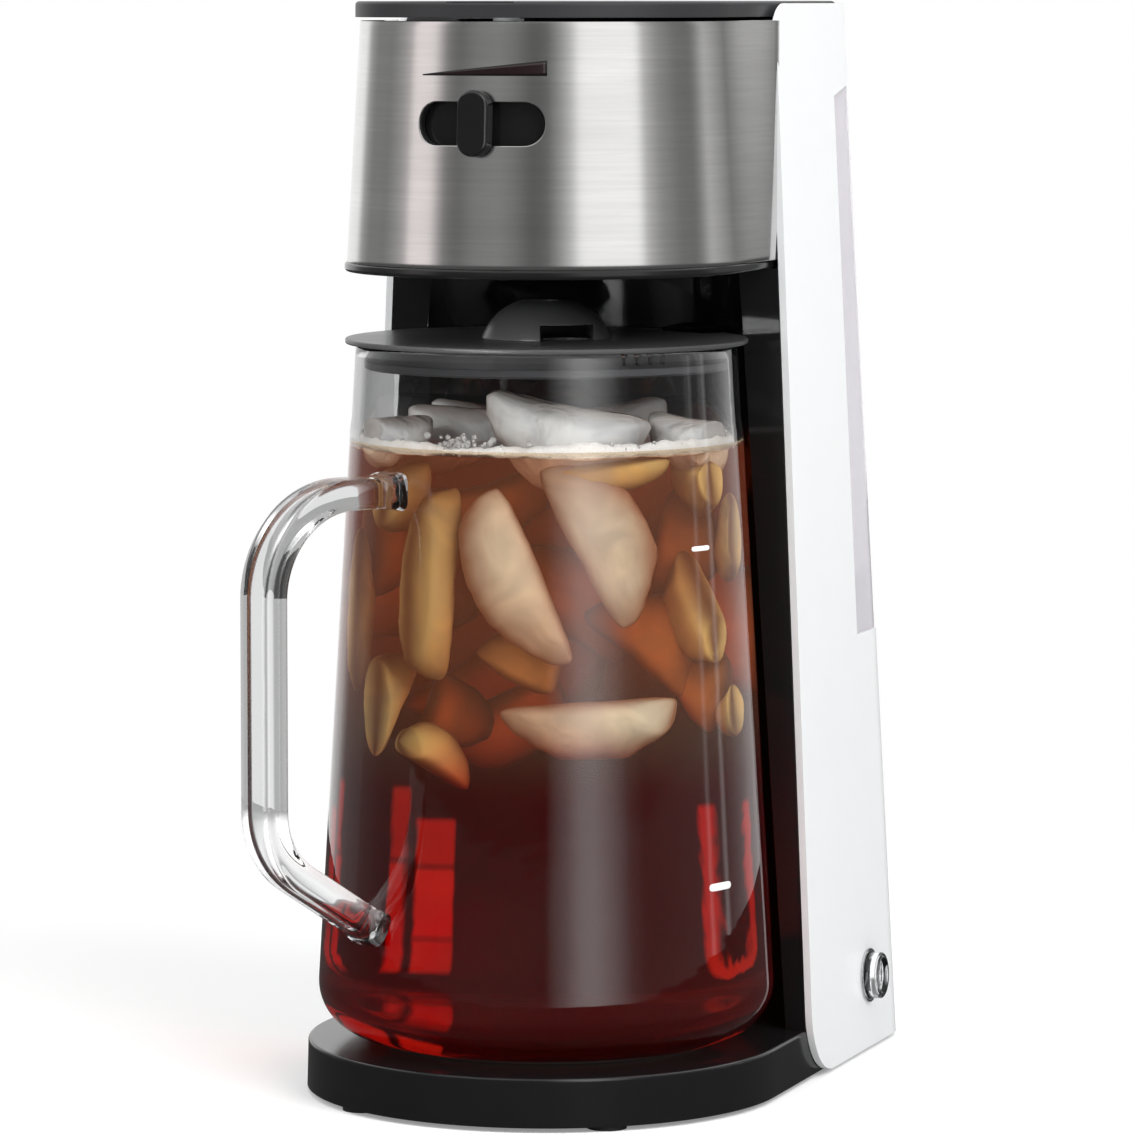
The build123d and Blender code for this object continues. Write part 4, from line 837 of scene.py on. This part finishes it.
DEEP_ICE = [
    (38.0, 20.0, 127.0, 30.0, 22.0, 16.0, -40.0, 0.2, 20.0),
    (32.0, 10.0, 170.0, 34.0, 20.0, 16.0, 10.0, 0.2, 20.0),
    (-28.0, 20.0, 120.0, 24.0, 18.0, 15.0, 20.0, 0.2, 0.0),
    (-14.0, 18.0, 186.0, 34.0, 18.0, 15.0, 70.0, 0.2, 0.0),
    (-42.0, 6.0, 172.0, 40.0, 20.0, 15.0, 10.0, 0.2, -30.0),
    (2.0, 5.0, 150.0, 46.0, 24.0, 18.0, -50.0, 0.2, 0.0),
    (26.0, 22.0, 139.0, 40.0, 22.0, 16.0, -48.0, 0.2, 10.0),
    (-14.0, 12.0, 118.0, 40.0, 20.0, 16.0, 60.0, 0.2, 0.0),
    (10.0, -26.0, 180.0, 50.0, 24.0, 18.0, 60.0, 0.2, 20.0),
    (-26.0, -30.0, 160.0, 50.0, 24.0, 18.0, 20.0, 0.2, 30.0),
    (30.0, -28.0, 140.0, 48.0, 24.0, 18.0, -30.0, 0.2, -20.0),
    (-8.0, -40.0, 130.0, 48.0, 24.0, 18.0, 40.0, 0.2, 10.0),
]
TOP_ICE = [
    (6.0, 34.0, 209.0, 50.0, 27.0, 26.0, 101.0, 0.22, 4.0),
    (43.0, 24.0, 205.5, 26.0, 19.0, 20.0, 96.0, 0.25, 30.0),
    (-45.0, 20.0, 206.0, 24.0, 16.0, 18.0, 88.0, 0.2, -30.0),
    (-26.0, -8.0, 206.0, 34.0, 20.0, 20.0, 95.0, 0.2, 0.0),
    (20.0, -30.0, 205.0, 40.0, 22.0, 22.0, 80.0, 0.2, 30.0),
    (-20.0, -38.0, 205.0, 36.0, 20.0, 20.0, 100.0, 0.2, -20.0),
]


class TEAMAKER_OT_ice(bpy.types.Operator):
    """Drop the half-moons of ice into the tea, in four colours; under the tea they are painted darker and warmer the
    deeper they lie, as shade
    """

    bl_idname = "teamaker.ice"
    bl_label = "Ice"

    def execute(self, context):
        c, s = colours(), sizes()
        # the deeper groups have darker colours and darker edge colours: painted shade for their depth in the tea
        groups = [
            ("ice_near", NEAR_ICE, ice_finish("Ice by the Wall", c.ice_near, (0.20, 0.065, 0.015), 0.05, 0.25, 1.1)),
            ("ice_middle", MIDDLE_ICE, ice_finish("Ice Further In", c.ice_mid, (0.07, 0.018, 0.005), 0.08, 0.3, 1.0)),
            ("ice_deep", DEEP_ICE, ice_finish("Ice Deep Inside", c.ice_deep, (0.04, 0.008, 0.003), 0.1, 0.4, 0.5)),
            ("ice_top", TOP_ICE, ice_finish("Ice above the Tea", (1.0, 0.94, 0.86), (0.50, 0.40, 0.33), 0.42, 0.03,
                                            1.3, by_core=False, relief=1.8)),
        ]
        for number, (name, rows, material) in enumerate(groups):
            parts = [crescent(*row, seed=100 * number + i) for i, row in enumerate(rows)]
            points, faces = joined(parts)
            reach = np.linalg.norm(points[:, :2], axis=1)
            free = jug_radius(points[:, 2]) - s.jug_wall - 0.8 * MM  # the ice is pressed in clear of the glass
            points[:, :2] *= np.minimum(1.0, free / np.maximum(reach, 1e-6))[:, None]
            piece = add_mesh(name, points, faces, material, "jug")
            core = piece.data.attributes.new("core", "FLOAT", "POINT")
            core.data.foreach_set("value", np.tile(CORE, len(rows)))
        return {"FINISHED"}


def ball(centre, radius, rows=6, columns=8):
    """A small sphere: rings of radius sin u at height cos u."""
    u = np.linspace(0, math.pi, rows + 2)[1:-1, None]
    v = np.linspace(0, 2 * math.pi, columns, endpoint=False)[None]
    rings = np.stack([np.sin(u) * np.cos(v), np.sin(u) * np.sin(v), np.cos(u) * np.ones_like(v)], -1)
    rings = rings * radius + centre
    up = np.array([0, 0, radius])
    return capped_rings(rings, centre + up, centre - up)


class TEAMAKER_OT_foam(bpy.types.Operator):
    """Lay the ring of foam along the wall, and its bubbles"""

    bl_idname = "teamaker.foam"
    bl_label = "Foam"

    def execute(self, context):
        # The ring's section is an ellipse, flatter below. Its width and height are multiplied by 1 plus a share of
        # five summed sine waves round the wall. The bubbles gather in two heaps, and the rest lie anywhere along it.
        s = sizes()
        rng = np.random.default_rng(7)
        angle = np.linspace(0, 360, 720, endpoint=False)
        a = np.radians(angle)
        rough = sum(np.sin(k * a + p) / w for k, p, w in
                    ((3, 0.4, 2.2), (7, 2.0, 3.0), (13, 1.1, 4.0), (29, 0.2, 6.0), (61, 2.6, 8.0)))
        width = s.foam_width * (1 + 0.35 * rough)
        height = 2.5 * MM * (1 + 0.5 * np.roll(rough, 60))
        t = np.linspace(0, 2 * math.pi, 14, endpoint=False)[:, None]
        edge = jug_radius(tea_top()) - s.jug_wall - 0.05 * MM
        r = edge - width[None] / 2 + np.cos(t) * width[None] / 2
        z = tea_top() + 0.5 * MM + np.sin(t) * height[None] * np.where(np.sin(t) > 0, 1.0, 0.6)
        rings = around_axis(np.minimum(r, jug_radius(z) - s.jug_wall - 0.03 * MM), angle[None], z)
        rings = np.swapaxes(rings, 0, 1)
        index = np.arange(rings.size // 3).reshape(rings.shape[:2])
        over, on = np.roll(index, -1, axis=0), np.roll(index, -1, axis=1)
        quads = np.stack([index, on, np.roll(over, -1, axis=1), over], -1).reshape(-1, 4)
        points = rings.reshape(-1, 3)
        if enclosed_volume(points, [quads]) < 0:
            quads = quads[:, ::-1]
        add_mesh("foam_ring", points, [quads], foam_finish(), "jug")
        count = s.bubbles
        share = rng.uniform(size=count)
        heap = share < 0.35
        spot = np.where(heap, rng.normal(-6.0, 5.0, count),
                        np.where(share < 0.6, rng.normal(38.0, 9.0, count), rng.uniform(-180, 180, count)))
        size = rng.uniform(0.35, 0.95, count) * MM * np.where(heap, 1.2, 1.0)
        rise = np.abs(rng.normal(0.9, 0.9, count)) * MM * np.where(heap, 1.8, 1.0)
        z = tea_top() + rise
        inward = np.abs(rng.normal(0, 1.6, count)) * MM
        centres = around_axis(jug_radius(z) - s.jug_wall - size - inward, spot, z)
        points, faces = joined([ball(c, r) for c, r in zip(centres, size)])
        add_mesh("foam_bubbles", points, faces, bubble_finish(), "jug")
        return {"FINISHED"}


def band_radius(z):
    """Outside radius of the steel band at height z."""
    s = sizes()
    return s.band_low + (s.band_top - s.band_low) * (z - BAND_LOW) / (BAND_TOP - BAND_LOW)


def on_band(run, z, proud=0.0):
    """Points of the U-shaped band: run is degrees from the front up to a quarter turn each way, and past it
    millimetres along the straight side, counted on from 90; the sides flare to meet the housing's cheeks."""
    r = band_radius(z) + proud
    turn = np.radians(np.clip(run, -90, 90))
    back = (np.abs(run) - 90).clip(0) * MM
    t = np.clip(back / BAND_RUN, 0, 1)
    r_back = r + (CHEEK - r) * t * t * (3 - 2 * t)
    return np.stack([r_back * np.sin(turn), -r * np.cos(turn) + back, z * np.ones_like(run)], -1)


def slot_collar(runs, heights, reach, rise, middle, slot_run, half):
    """Rows of runs and heights that fill an oblong left free in the band, from the slot's outline, which lies half
    a slot's height from its middle line, to the oblong's edge."""
    runs = runs[np.abs(runs) < reach + 0.01]
    heights = heights[np.abs(heights - middle) < rise + 0.01 * MM]
    edge = np.array([*((a, heights[0]) for a in runs[:-1]), *((runs[-1], h) for h in heights[:-1]),
                     *((a, heights[-1]) for a in runs[:0:-1]), *((runs[0], h) for h in heights[:0:-1])])
    per_degree = math.radians(1) * band_radius(middle)
    level = np.stack([edge[:, 0] * per_degree, edge[:, 1] - middle], -1)
    end = slot_run * per_degree - half
    heart = np.stack([np.clip(level[:, 0], -end, end), np.zeros(len(level))], -1)
    away = level - heart
    outline = heart + away / np.linalg.norm(away, axis=1, keepdims=True) * half
    steps = np.linspace(0, 1, 5)[:, None, None] ** 1.3
    collar = outline[None] * (1 - steps) + level[None] * steps
    collar = np.stack([collar[..., 0] / per_degree, collar[..., 1] + middle], -1)
    collar[-1] = edge
    return collar


def weld(places, faces, fineness):
    """Places that fall together when they are counted to a fineness along each axis become one; unused ones go."""
    keys = np.round(places * np.array(fineness)).astype(np.int64)
    _, first, welded = np.unique(keys, axis=0, return_index=True, return_inverse=True)
    used, faces = np.unique(welded.ravel()[faces], return_inverse=True)
    return places[first[used]], faces.reshape(-1, 4)


class TEAMAKER_OT_band(bpy.types.Operator):
    """Bend the brushed steel band with its slot, and lay the strength wedge on it"""

    bl_idname = "teamaker.band"
    bl_label = "Steel Band"

    def execute(self, context):
        # A grid of runs and heights is bent by on_band; slot_collar fills the oblong left free round the slot.
        s = sizes()
        slot_z, slot_run = 298.6 * MM, 20.0  # the slot's height, and half its length in degrees
        reach, rise = 22.5, 8.1 * MM  # half the oblong left free, in degrees and in metres
        side = 90 + BAND_RUN / MM
        runs = np.concatenate([np.linspace(-side, -90, 9)[:-1], np.arange(-90, 90.1, 1.5),
                               np.linspace(90, side, 9)[1:]])
        heights = np.concatenate([np.linspace(BAND_LOW, slot_z - rise, 18)[:-1],
                                  np.linspace(slot_z - rise, slot_z + rise, 9),
                                  np.linspace(slot_z + rise, BAND_TOP, 12)[1:]])
        flat = np.stack(np.meshgrid(runs, heights), -1).reshape(-1, 2)
        quads = grid_quads(len(heights), len(runs), False)
        middle = flat[quads].mean(1)
        hole = (np.abs(middle[:, 0]) < reach) & (np.abs(middle[:, 1] - slot_z) < rise)
        collar = slot_collar(runs, heights, reach, rise, slot_z, slot_run, s.slot_height / 2)
        ring = grid_quads(*collar.shape[:2], True)[:, ::-1] + len(flat)
        places, faces = weld(np.concatenate([flat, collar.reshape(-1, 2)]), np.concatenate([quads[~hole], ring]),
                             (1e4, 1e7))
        steel = brushed("Brushed Steel", tuple(colours().steel), 0.15, 0.002)
        band = add_mesh("steel_band_sheet", on_band(*places.T), [faces], steel, "machine", ["steel_band"])
        thicken(band, s.band_sheet)
        soft = band.modifiers.new("Soft Rim", "BEVEL")
        soft.width, soft.segments, soft.limit_method, soft.angle_limit = 0.2 * MM, 2, "ANGLE", math.radians(50)
        self.wedge("strength_wedge_line", 0.0, print_finish("Black Print", (0.004, 0.004, 0.004), 0.35), 0.03 * MM)
        self.wedge("strength_wedge", 0.45, print_finish("Wedge Print", (0.012, 0.005, 0.006), 0.25), 0.05 * MM)
        return {"FINISHED"}

    def wedge(self, name, inset, ink, proud):
        """The strength mark: a strip whose height grows evenly from left to right, inset from its outline in mm."""
        left, right, foot, tip, growth = -19.3, 20.5, 312.75, 313.15, 4.15  # degrees, then millimetres
        t = np.linspace(0, 1, 60)[None]
        v = np.linspace(0, 1, 5)[:, None]
        start, stop = left + inset * 2.5, right - inset
        run = start + t * (stop - start)
        low = foot + inset * 0.7
        high = tip + growth * (run - left) / (right - left) - inset * 0.7
        z = (low + v * np.maximum(high - low, 0.04)) * MM
        add_sheet(name, on_band(run * np.ones_like(v), z, proud), ink, "machine", depth=proud + 0.02 * MM)


class TEAMAKER_OT_marks(bpy.types.Operator):
    """Print the two level bars on the jug and the on-off sign on the button"""

    bl_idname = "teamaker.marks"
    bl_label = "Printed Marks"

    def execute(self, context):
        # Each bar spans two angles at a height; half its width is high / 2 times sqrt(1 - |u|^9), u from -1 to 1.
        ink = print_finish("White Print", tuple(colours().print_white), 0.4)
        for name, start, stop, z, high in (("level_bar_upper", 64.6, 72.2, 171.5, 1.5),
                                           ("level_bar_lower", 66.2, 75.0, 69.5, 2.3)):
            u = np.linspace(-1, 1, 33)[None]
            v = np.linspace(-1, 1, 7)[:, None]
            tall = high / 2 * np.sqrt(np.clip(1.0005 - np.abs(u) ** 9, 0, 1))
            height = (z + v * tall) * MM
            angle = (start + stop) / 2 + u * (stop - start) / 2 * np.ones_like(v)
            add_sheet(name, around_axis(jug_radius(height) + INK, angle, height), ink, "jug", depth=INK)
        self.power_sign()
        return {"FINISHED"}

    def power_sign(self):
        """A broken ring and a short bar on the button's dished face, which faces out of the right panel."""
        low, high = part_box("power_button")
        ink = print_finish("Sign Print", (0.55, 0.56, 0.58), 0.4)
        stroke = np.linspace(-1, 1, 4)[:, None] * 0.28 * MM
        t = np.radians(np.linspace(125, 415, 48))[None]
        r = 2.3 * MM + stroke
        ring = (r * np.cos(t), r * np.sin(t))
        bar = (stroke * np.ones((1, 12)), np.linspace(0.4, 3.2, 12)[None] * MM * np.ones_like(stroke))
        # The face is a dish, deep * (1 - (y^2 + z^2) / dish^2) below its rim, on a panel that leans in with height.
        dish, deep, lean, proud = 6.4 * 0.8 * MM, 1.2 * MM, 0.0426, 0.05 * MM
        for name, (y, z) in (("power_sign_ring", ring), ("power_sign_bar", bar)):
            sag = deep * (1 - (y * y + z * z) / dish ** 2).clip(0)
            x = high.x - sag + proud - lean * z
            sign = np.stack([x, (low.y + high.y) / 2 + y, 24.5 * MM + z], -1)
            add_sheet(name, sign, ink, "power_button", depth=INK)


# Studio panels round the object: angle from the front in degrees, and brightness
PANELS = [
    (-90, 0.21), (-84, 0.25), (-76, 0.34), (-69, 0.50), (-65, 0.98), (-51, 0.94), (-47, 0.60), (-42, 0.22),
    (-33, 0.15), (-22, 0.24), (-8, 0.27), (1, 0.22), (12, 0.12), (21, 0.15), (28, 0.34), (35, 0.62), (40, 1.12),
    (75, 1.14), (80, 0.56), (90, 0.32), (104, 0.20), (116, 0.18), (121, 0.26), (130, 0.52), (144, 0.36),
    (160, 0.20), (168, 0.24), (174, 1.00), (238, 1.00), (246, 0.40), (256, 0.24),
]
GLASS_PANELS = [
    (-90, 0.20), (-70, 0.10), (20, 0.10), (30, 1.40), (37, 2.80), (43, 3.10), (52, 1.90), (62, 0.50), (70, 0.20),
    (108, 0.30), (110, 1.50), (112, 0.30), (120, 0.30), (122, 1.80), (125, 0.30), (150, 0.90), (174, 1.00),
    (238, 1.00), (250, 0.30),
]
# Pieces that mirror the glass panels and not the others, and pieces that the low lamp lights
MIRRORS = ("jug_wall", "jug_handle_strap", "bay_wall", "base_shell", "slider_knob", "slider_carriage",
           "strength_wedge")
LID_PIECES = ("jug_lid_plate", "jug_lid_grip", "jug_lid_collar", "ice_top", "foam_ring", "foam_bubbles")
# Painted reflections of bright windows in the column, given off by a glowing card: angles from the front, heights in
# millimetres, and strength
PAINTED_GLINTS = ((212.6, 217.3, 27.0, 37.2, 0.9), (212.6, 217.3, 38.0, 60.2, 1.0), (212.6, 217.3, 61.2, 76.0, 0.8),
          (218.3, 220.0, 27.0, 62.0, 0.8), (218.3, 220.0, 63.2, 86.0, 0.6), (179.7, 180.9, 24.0, 80.0, 0.8))
FLOOR_LIFT = 0.26  # light that the floor adds to itself where it is seen
# strength of the painted window reflections on the card
PAINTED_GLINT_LIGHT = 0.78
GLASS_DIM = 0.6  # light that the room loses for rays mirrored inside the glass
DRINK_DIM = 0.92  # light that the floor loses for rays through the drink and for gloss


def seen_rays(tree):
    """1 for rays that show what they meet (camera, gloss, glass), 1 for those that have gone through the jug and
    its drink, off the column behind and back, and 1 for those mirrored inside the glass."""
    path = add_node(tree, "ShaderNodeLightPath").outputs
    gloss, depth = path["Is Glossy Ray"], path["Transmission Depth"]
    seen = calc(tree, "MAXIMUM", calc(tree, "MAXIMUM", path["Is Camera Ray"], gloss), path["Is Transmission Ray"])
    inside = calc(tree, "MULTIPLY", calc(tree, "GREATER_THAN", depth, 0.5), gloss)
    return seen, calc(tree, "GREATER_THAN", depth, 4.5), inside


class TEAMAKER_OT_studio(bpy.types.Operator):
    """Set the floor, the studio panels, the lamps and the camera"""

    bl_idname = "teamaker.studio"
    bl_label = "Studio"

    def execute(self, context):
        self.floor()
        self.panels()
        self.glints()
        self.world()
        self.lamp("key_softbox", 62.0, 38.0, 1.6, 1.0, 1.3, 21.0)
        self.lamp("front_fill", -35.0, 25.0, 1.7, 1.2, 1.2, 9.0)
        self.lamp("top_softbox", 10.0, 80.0, 1.5, 1.4, 1.4, 8.0)
        low = self.lamp("lid_light", -12.0, 14.0, 1.1, 0.5, 0.4, 9.0)
        low.visible_glossy = True
        low.light_linking.receiver_collection = self.only("Lit by the Lid Light", LID_PIECES)
        self.camera()
        context.scene.view_settings.view_transform = "Standard"
        return {"FINISHED"}

    def floor(self):
        """A pale round floor that stays white where nothing shades it."""
        made, tree = new_material("Studio Floor")
        place = place_in(tree)
        grey = mixed(tree, noise(tree, place, 3.0, 2.0), (0.80, 0.80, 0.80), (0.82, 0.82, 0.82))
        paint = add_node(tree, "ShaderNodeBsdfDiffuse", {"Color": grey}).outputs[0]
        seen, deep, inside = seen_rays(tree)
        near = added(tree, paint, glowing(tree, calc(tree, "MULTIPLY", seen, FLOOR_LIFT)))
        path = add_node(tree, "ShaderNodeLightPath").outputs
        outside = calc(tree, "LESS_THAN", path["Transmission Depth"], 0.5)
        dim = calc(tree, "MAXIMUM", deep, calc(tree, "MULTIPLY", outside, path["Is Glossy Ray"]))
        level = calc(tree, "MULTIPLY_ADD", dim, -DRINK_DIM, 1.0)
        level = calc(tree, "MULTIPLY_ADD", inside, -GLASS_DIM, level, clamp=True)
        reach = add_node(tree, "ShaderNodeVectorMath", {0: place}, operation="LENGTH").outputs["Value"]
        far = ranged(tree, reach, 0.0, 1.0, 0.26, 0.6, interpolation_type="SMOOTHSTEP")
        share = calc(tree, "MULTIPLY", calc(tree, "MAXIMUM", far, dim), seen)
        both = add_node(tree, "ShaderNodeMixShader", {0: share, 1: near, 2: glowing(tree, level)})
        surface(tree, both.outputs[0])
        angle = np.linspace(0, 360, 96, endpoint=False)
        radius = np.array([0.2, 0.5, 1.2, 3.0, 9.0])[:, None]
        points = np.concatenate([around_axis(radius, angle[None], 0.0).reshape(-1, 3), [[0, 0, 0]]])
        fan = np.stack([np.full(96, len(points) - 1), np.arange(96), np.roll(np.arange(96), -1)], -1)
        add_mesh("studio_floor", points, [grid_quads(5, 96, True)[:, ::-1], fan], made, None)

    def panels(self):
        """An upright ring of light and dark panels that only gloss and glass see, and a second, open ring whose
        stronger light falls on the glass and the black mouldings alone."""
        plain = self.panel_ring("studio_panels", 2.6, PANELS, see_through=False)
        glow = self.panel_ring("glass_panels", 0.62, GLASS_PANELS, see_through=True)
        glow.light_linking.receiver_collection = self.only("Lit by the Glass Panels", MIRRORS)
        others = self.only("Not Lit by the Studio Panels", MIRRORS)
        for held in others.collection_objects:
            held.light_linking.link_state = "EXCLUDE"
        plain.light_linking.receiver_collection = others

    def only(self, label, names):
        """A collection of the pieces that a light is kept to."""
        made = bpy.data.collections.new(label)
        for name in names:
            made.objects.link(bpy.data.objects[name])
        return made

    def opened(self, tree, shader):
        """The shader, with what stands behind it showing through."""
        return added(tree, shader, add_node(tree, "ShaderNodeBsdfTransparent").outputs[0])

    def panel_ring(self, name, radius, levels, see_through):
        """One ring with a ramp of levels round it; the glass panels let rays through to what stands behind."""
        made, tree = new_material(name.replace("_", " ").title())
        radial = add_node(tree, "ShaderNodeTexGradient", {"Vector": place_in(tree)}, gradient_type="RADIAL")
        ramp = add_node(tree, "ShaderNodeValToRGB", {"Fac": radial.outputs["Fac"]})
        stops = ramp.color_ramp.elements
        while len(stops) > 1:
            stops.remove(stops[-1])
        top = max(level for _, level in levels)
        for i, (turn, level) in enumerate(levels):
            stop = stops[0] if i == 0 else stops.new((turn + 90) / 360)
            stop.position = (turn + 90) / 360
            warm = 0.93 if -70 < turn < -45 else 1.0
            stop.color = (level / top, level / top * warm, level / top * warm, 1.0)
        if see_through:
            level = calc(tree, "MULTIPLY_ADD", seen_rays(tree)[2], -GLASS_DIM * top, top)
            surface(tree, self.opened(tree, glowing(tree, level, ramp.outputs["Color"])))
        else:
            surface(tree, glowing(tree, top, ramp.outputs["Color"]))
        angle = np.linspace(0, 360, 180, endpoint=False)
        z = np.array([0.0, 0.6, 1.2, 1.9])[:, None]
        ring = add_sheet(name, around_axis(radius, angle[None], z), made, None, closed=True)
        ring.visible_camera = ring.visible_diffuse = ring.visible_shadow = ring.visible_volume_scatter = False
        return ring

    def glints(self):
        """A thin curved glowing card before the column that only glass shows: painted reflections of windows in the
        column, seen through tea.
        """
        made, tree = new_material("Column Glints")
        place = place_in(tree)
        apart = add_node(tree, "ShaderNodeSeparateXYZ", {0: place}).outputs
        turn, height = calc(tree, "ARCTAN2", apart["X"], apart["Y"]), apart["Z"]
        total = 0.0
        for a0, a1, z0, z1, strength in PAINTED_GLINTS:
            sides = []
            for value, low, high, soft in ((turn, math.radians(180 - a1), math.radians(180 - a0), 0.004),
                                           (height, z0 * MM, z1 * MM, MM)):
                off = calc(tree, "ABSOLUTE", calc(tree, "SUBTRACT", value, (low + high) / 2))
                half = (high - low) / 2
                sides.append(ranged(tree, off, 0.0, 1.0, half + soft, half - soft))
            total = calc(tree, "MULTIPLY_ADD", calc(tree, "MULTIPLY", *sides), strength, total)
        depth = add_node(tree, "ShaderNodeLightPath").outputs["Transmission Depth"]
        level = calc(tree, "MULTIPLY", total, ranged(tree, noise(tree, place, 60.0, 2.0), 0.7, 1.3))
        level = calc(tree, "MULTIPLY", level, calc(tree, "GREATER_THAN", depth, 3.5))
        level = calc(tree, "MULTIPLY", level, PAINTED_GLINT_LIGHT)
        surface(tree, self.opened(tree, glowing(tree, level)))
        angle, z = np.meshgrid(np.linspace(176, 226, 60), np.linspace(20 * MM, 88 * MM, 12))
        card = add_sheet("column_glints", around_axis(jug_radius(z) + 1.2 * MM, angle, z), made, None)
        card.visible_camera = card.visible_diffuse = card.visible_shadow = card.visible_glossy = False

    def world(self):
        """White where it is seen, and a plain soft light on everything else."""
        made = bpy.data.worlds.new("Studio Air")
        made.use_nodes = True
        tree = made.node_tree
        tree.nodes.clear()
        seen, _, inside = seen_rays(tree)
        level = calc(tree, "MULTIPLY_ADD", inside, -GLASS_DIM, ranged(tree, seen, 0.50, 1.0))
        air = add_node(tree, "ShaderNodeBackground", {"Color": (1, 1, 1, 1), "Strength": level})
        out = tree.nodes.new("ShaderNodeOutputWorld")
        tree.links.new(air.outputs[0], out.inputs["Surface"])
        bpy.context.scene.world = made

    def lamp(self, name, turn, rise, away, wide, tall, power):
        """A soft box that looks at the middle of the object and is not mirrored in it."""
        data = bpy.data.lights.new(name, "AREA")
        data.shape, data.size, data.size_y, data.energy = "RECTANGLE", wide, tall, power
        made = bpy.data.objects.new(name, data)
        bpy.context.scene.collection.objects.link(made)
        t, e = math.radians(turn), math.radians(rise)
        back = np.array([math.sin(t) * math.cos(e), -math.cos(t) * math.cos(e), math.sin(e)])
        middle = np.array([0.0, 0.03, 0.17])
        made.location = back * away + middle
        made.rotation_euler = (math.pi / 2 - e, 0.0, t)
        made.visible_camera = made.visible_glossy = made.visible_transmission = False
        return made

    def camera(self):
        """A long lens a little above the head, to the right of the front."""
        data = bpy.data.cameras.new("product_camera")
        data.lens, data.sensor_width = 180.9, 36.0
        data.clip_start, data.clip_end = 0.05, 60.0
        data.shift_x = 0.038
        made = bpy.data.objects.new("product_camera", data)
        bpy.context.scene.collection.objects.link(made)
        made.location = (0.606, -1.632, 0.337)
        made.rotation_euler = (math.radians(90 - 5.75), 0.0, math.radians(20.60))
        bpy.context.scene.camera = made


class TEAMAKER_PT_panel(bpy.types.Panel):
    """Lists the sizes, the colours and the steps"""

    bl_idname = "TEAMAKER_PT_panel"
    bl_label = "Iced Tea Maker"
    bl_space_type = "VIEW_3D"
    bl_region_type = "UI"
    bl_category = "Tea Maker"

    def draw(self, context):
        for step in STEPS:
            self.layout.operator(step.bl_idname)
        for group in (context.scene.tea_maker_sizes, context.scene.tea_maker_colours):
            column = self.layout.column(align=True)
            for name in group.__annotations__:
                column.prop(group, name)


STEPS = (TEAMAKER_OT_dress, TEAMAKER_OT_jug, TEAMAKER_OT_handle, TEAMAKER_OT_tea, TEAMAKER_OT_ice, TEAMAKER_OT_foam,
         TEAMAKER_OT_band, TEAMAKER_OT_marks, TEAMAKER_OT_studio)
CLASSES = (TeaMakerSizes, TeaMakerColours, *STEPS, TEAMAKER_PT_panel)


def register():
    for made in CLASSES:
        bpy.utils.register_class(made)
    bpy.types.Scene.tea_maker_sizes = PointerProperty(type=TeaMakerSizes)
    bpy.types.Scene.tea_maker_colours = PointerProperty(type=TeaMakerColours)


def unregister():
    del bpy.types.Scene.tea_maker_sizes
    del bpy.types.Scene.tea_maker_colours
    for made in reversed(CLASSES):
        bpy.utils.unregister_class(made)


def main():
    """Runs every step in order."""
    register()
    for step in STEPS:
        area, name = step.bl_idname.split(".")
        getattr(getattr(bpy.ops, area), name)()


if __name__ == "__main__":
    main()
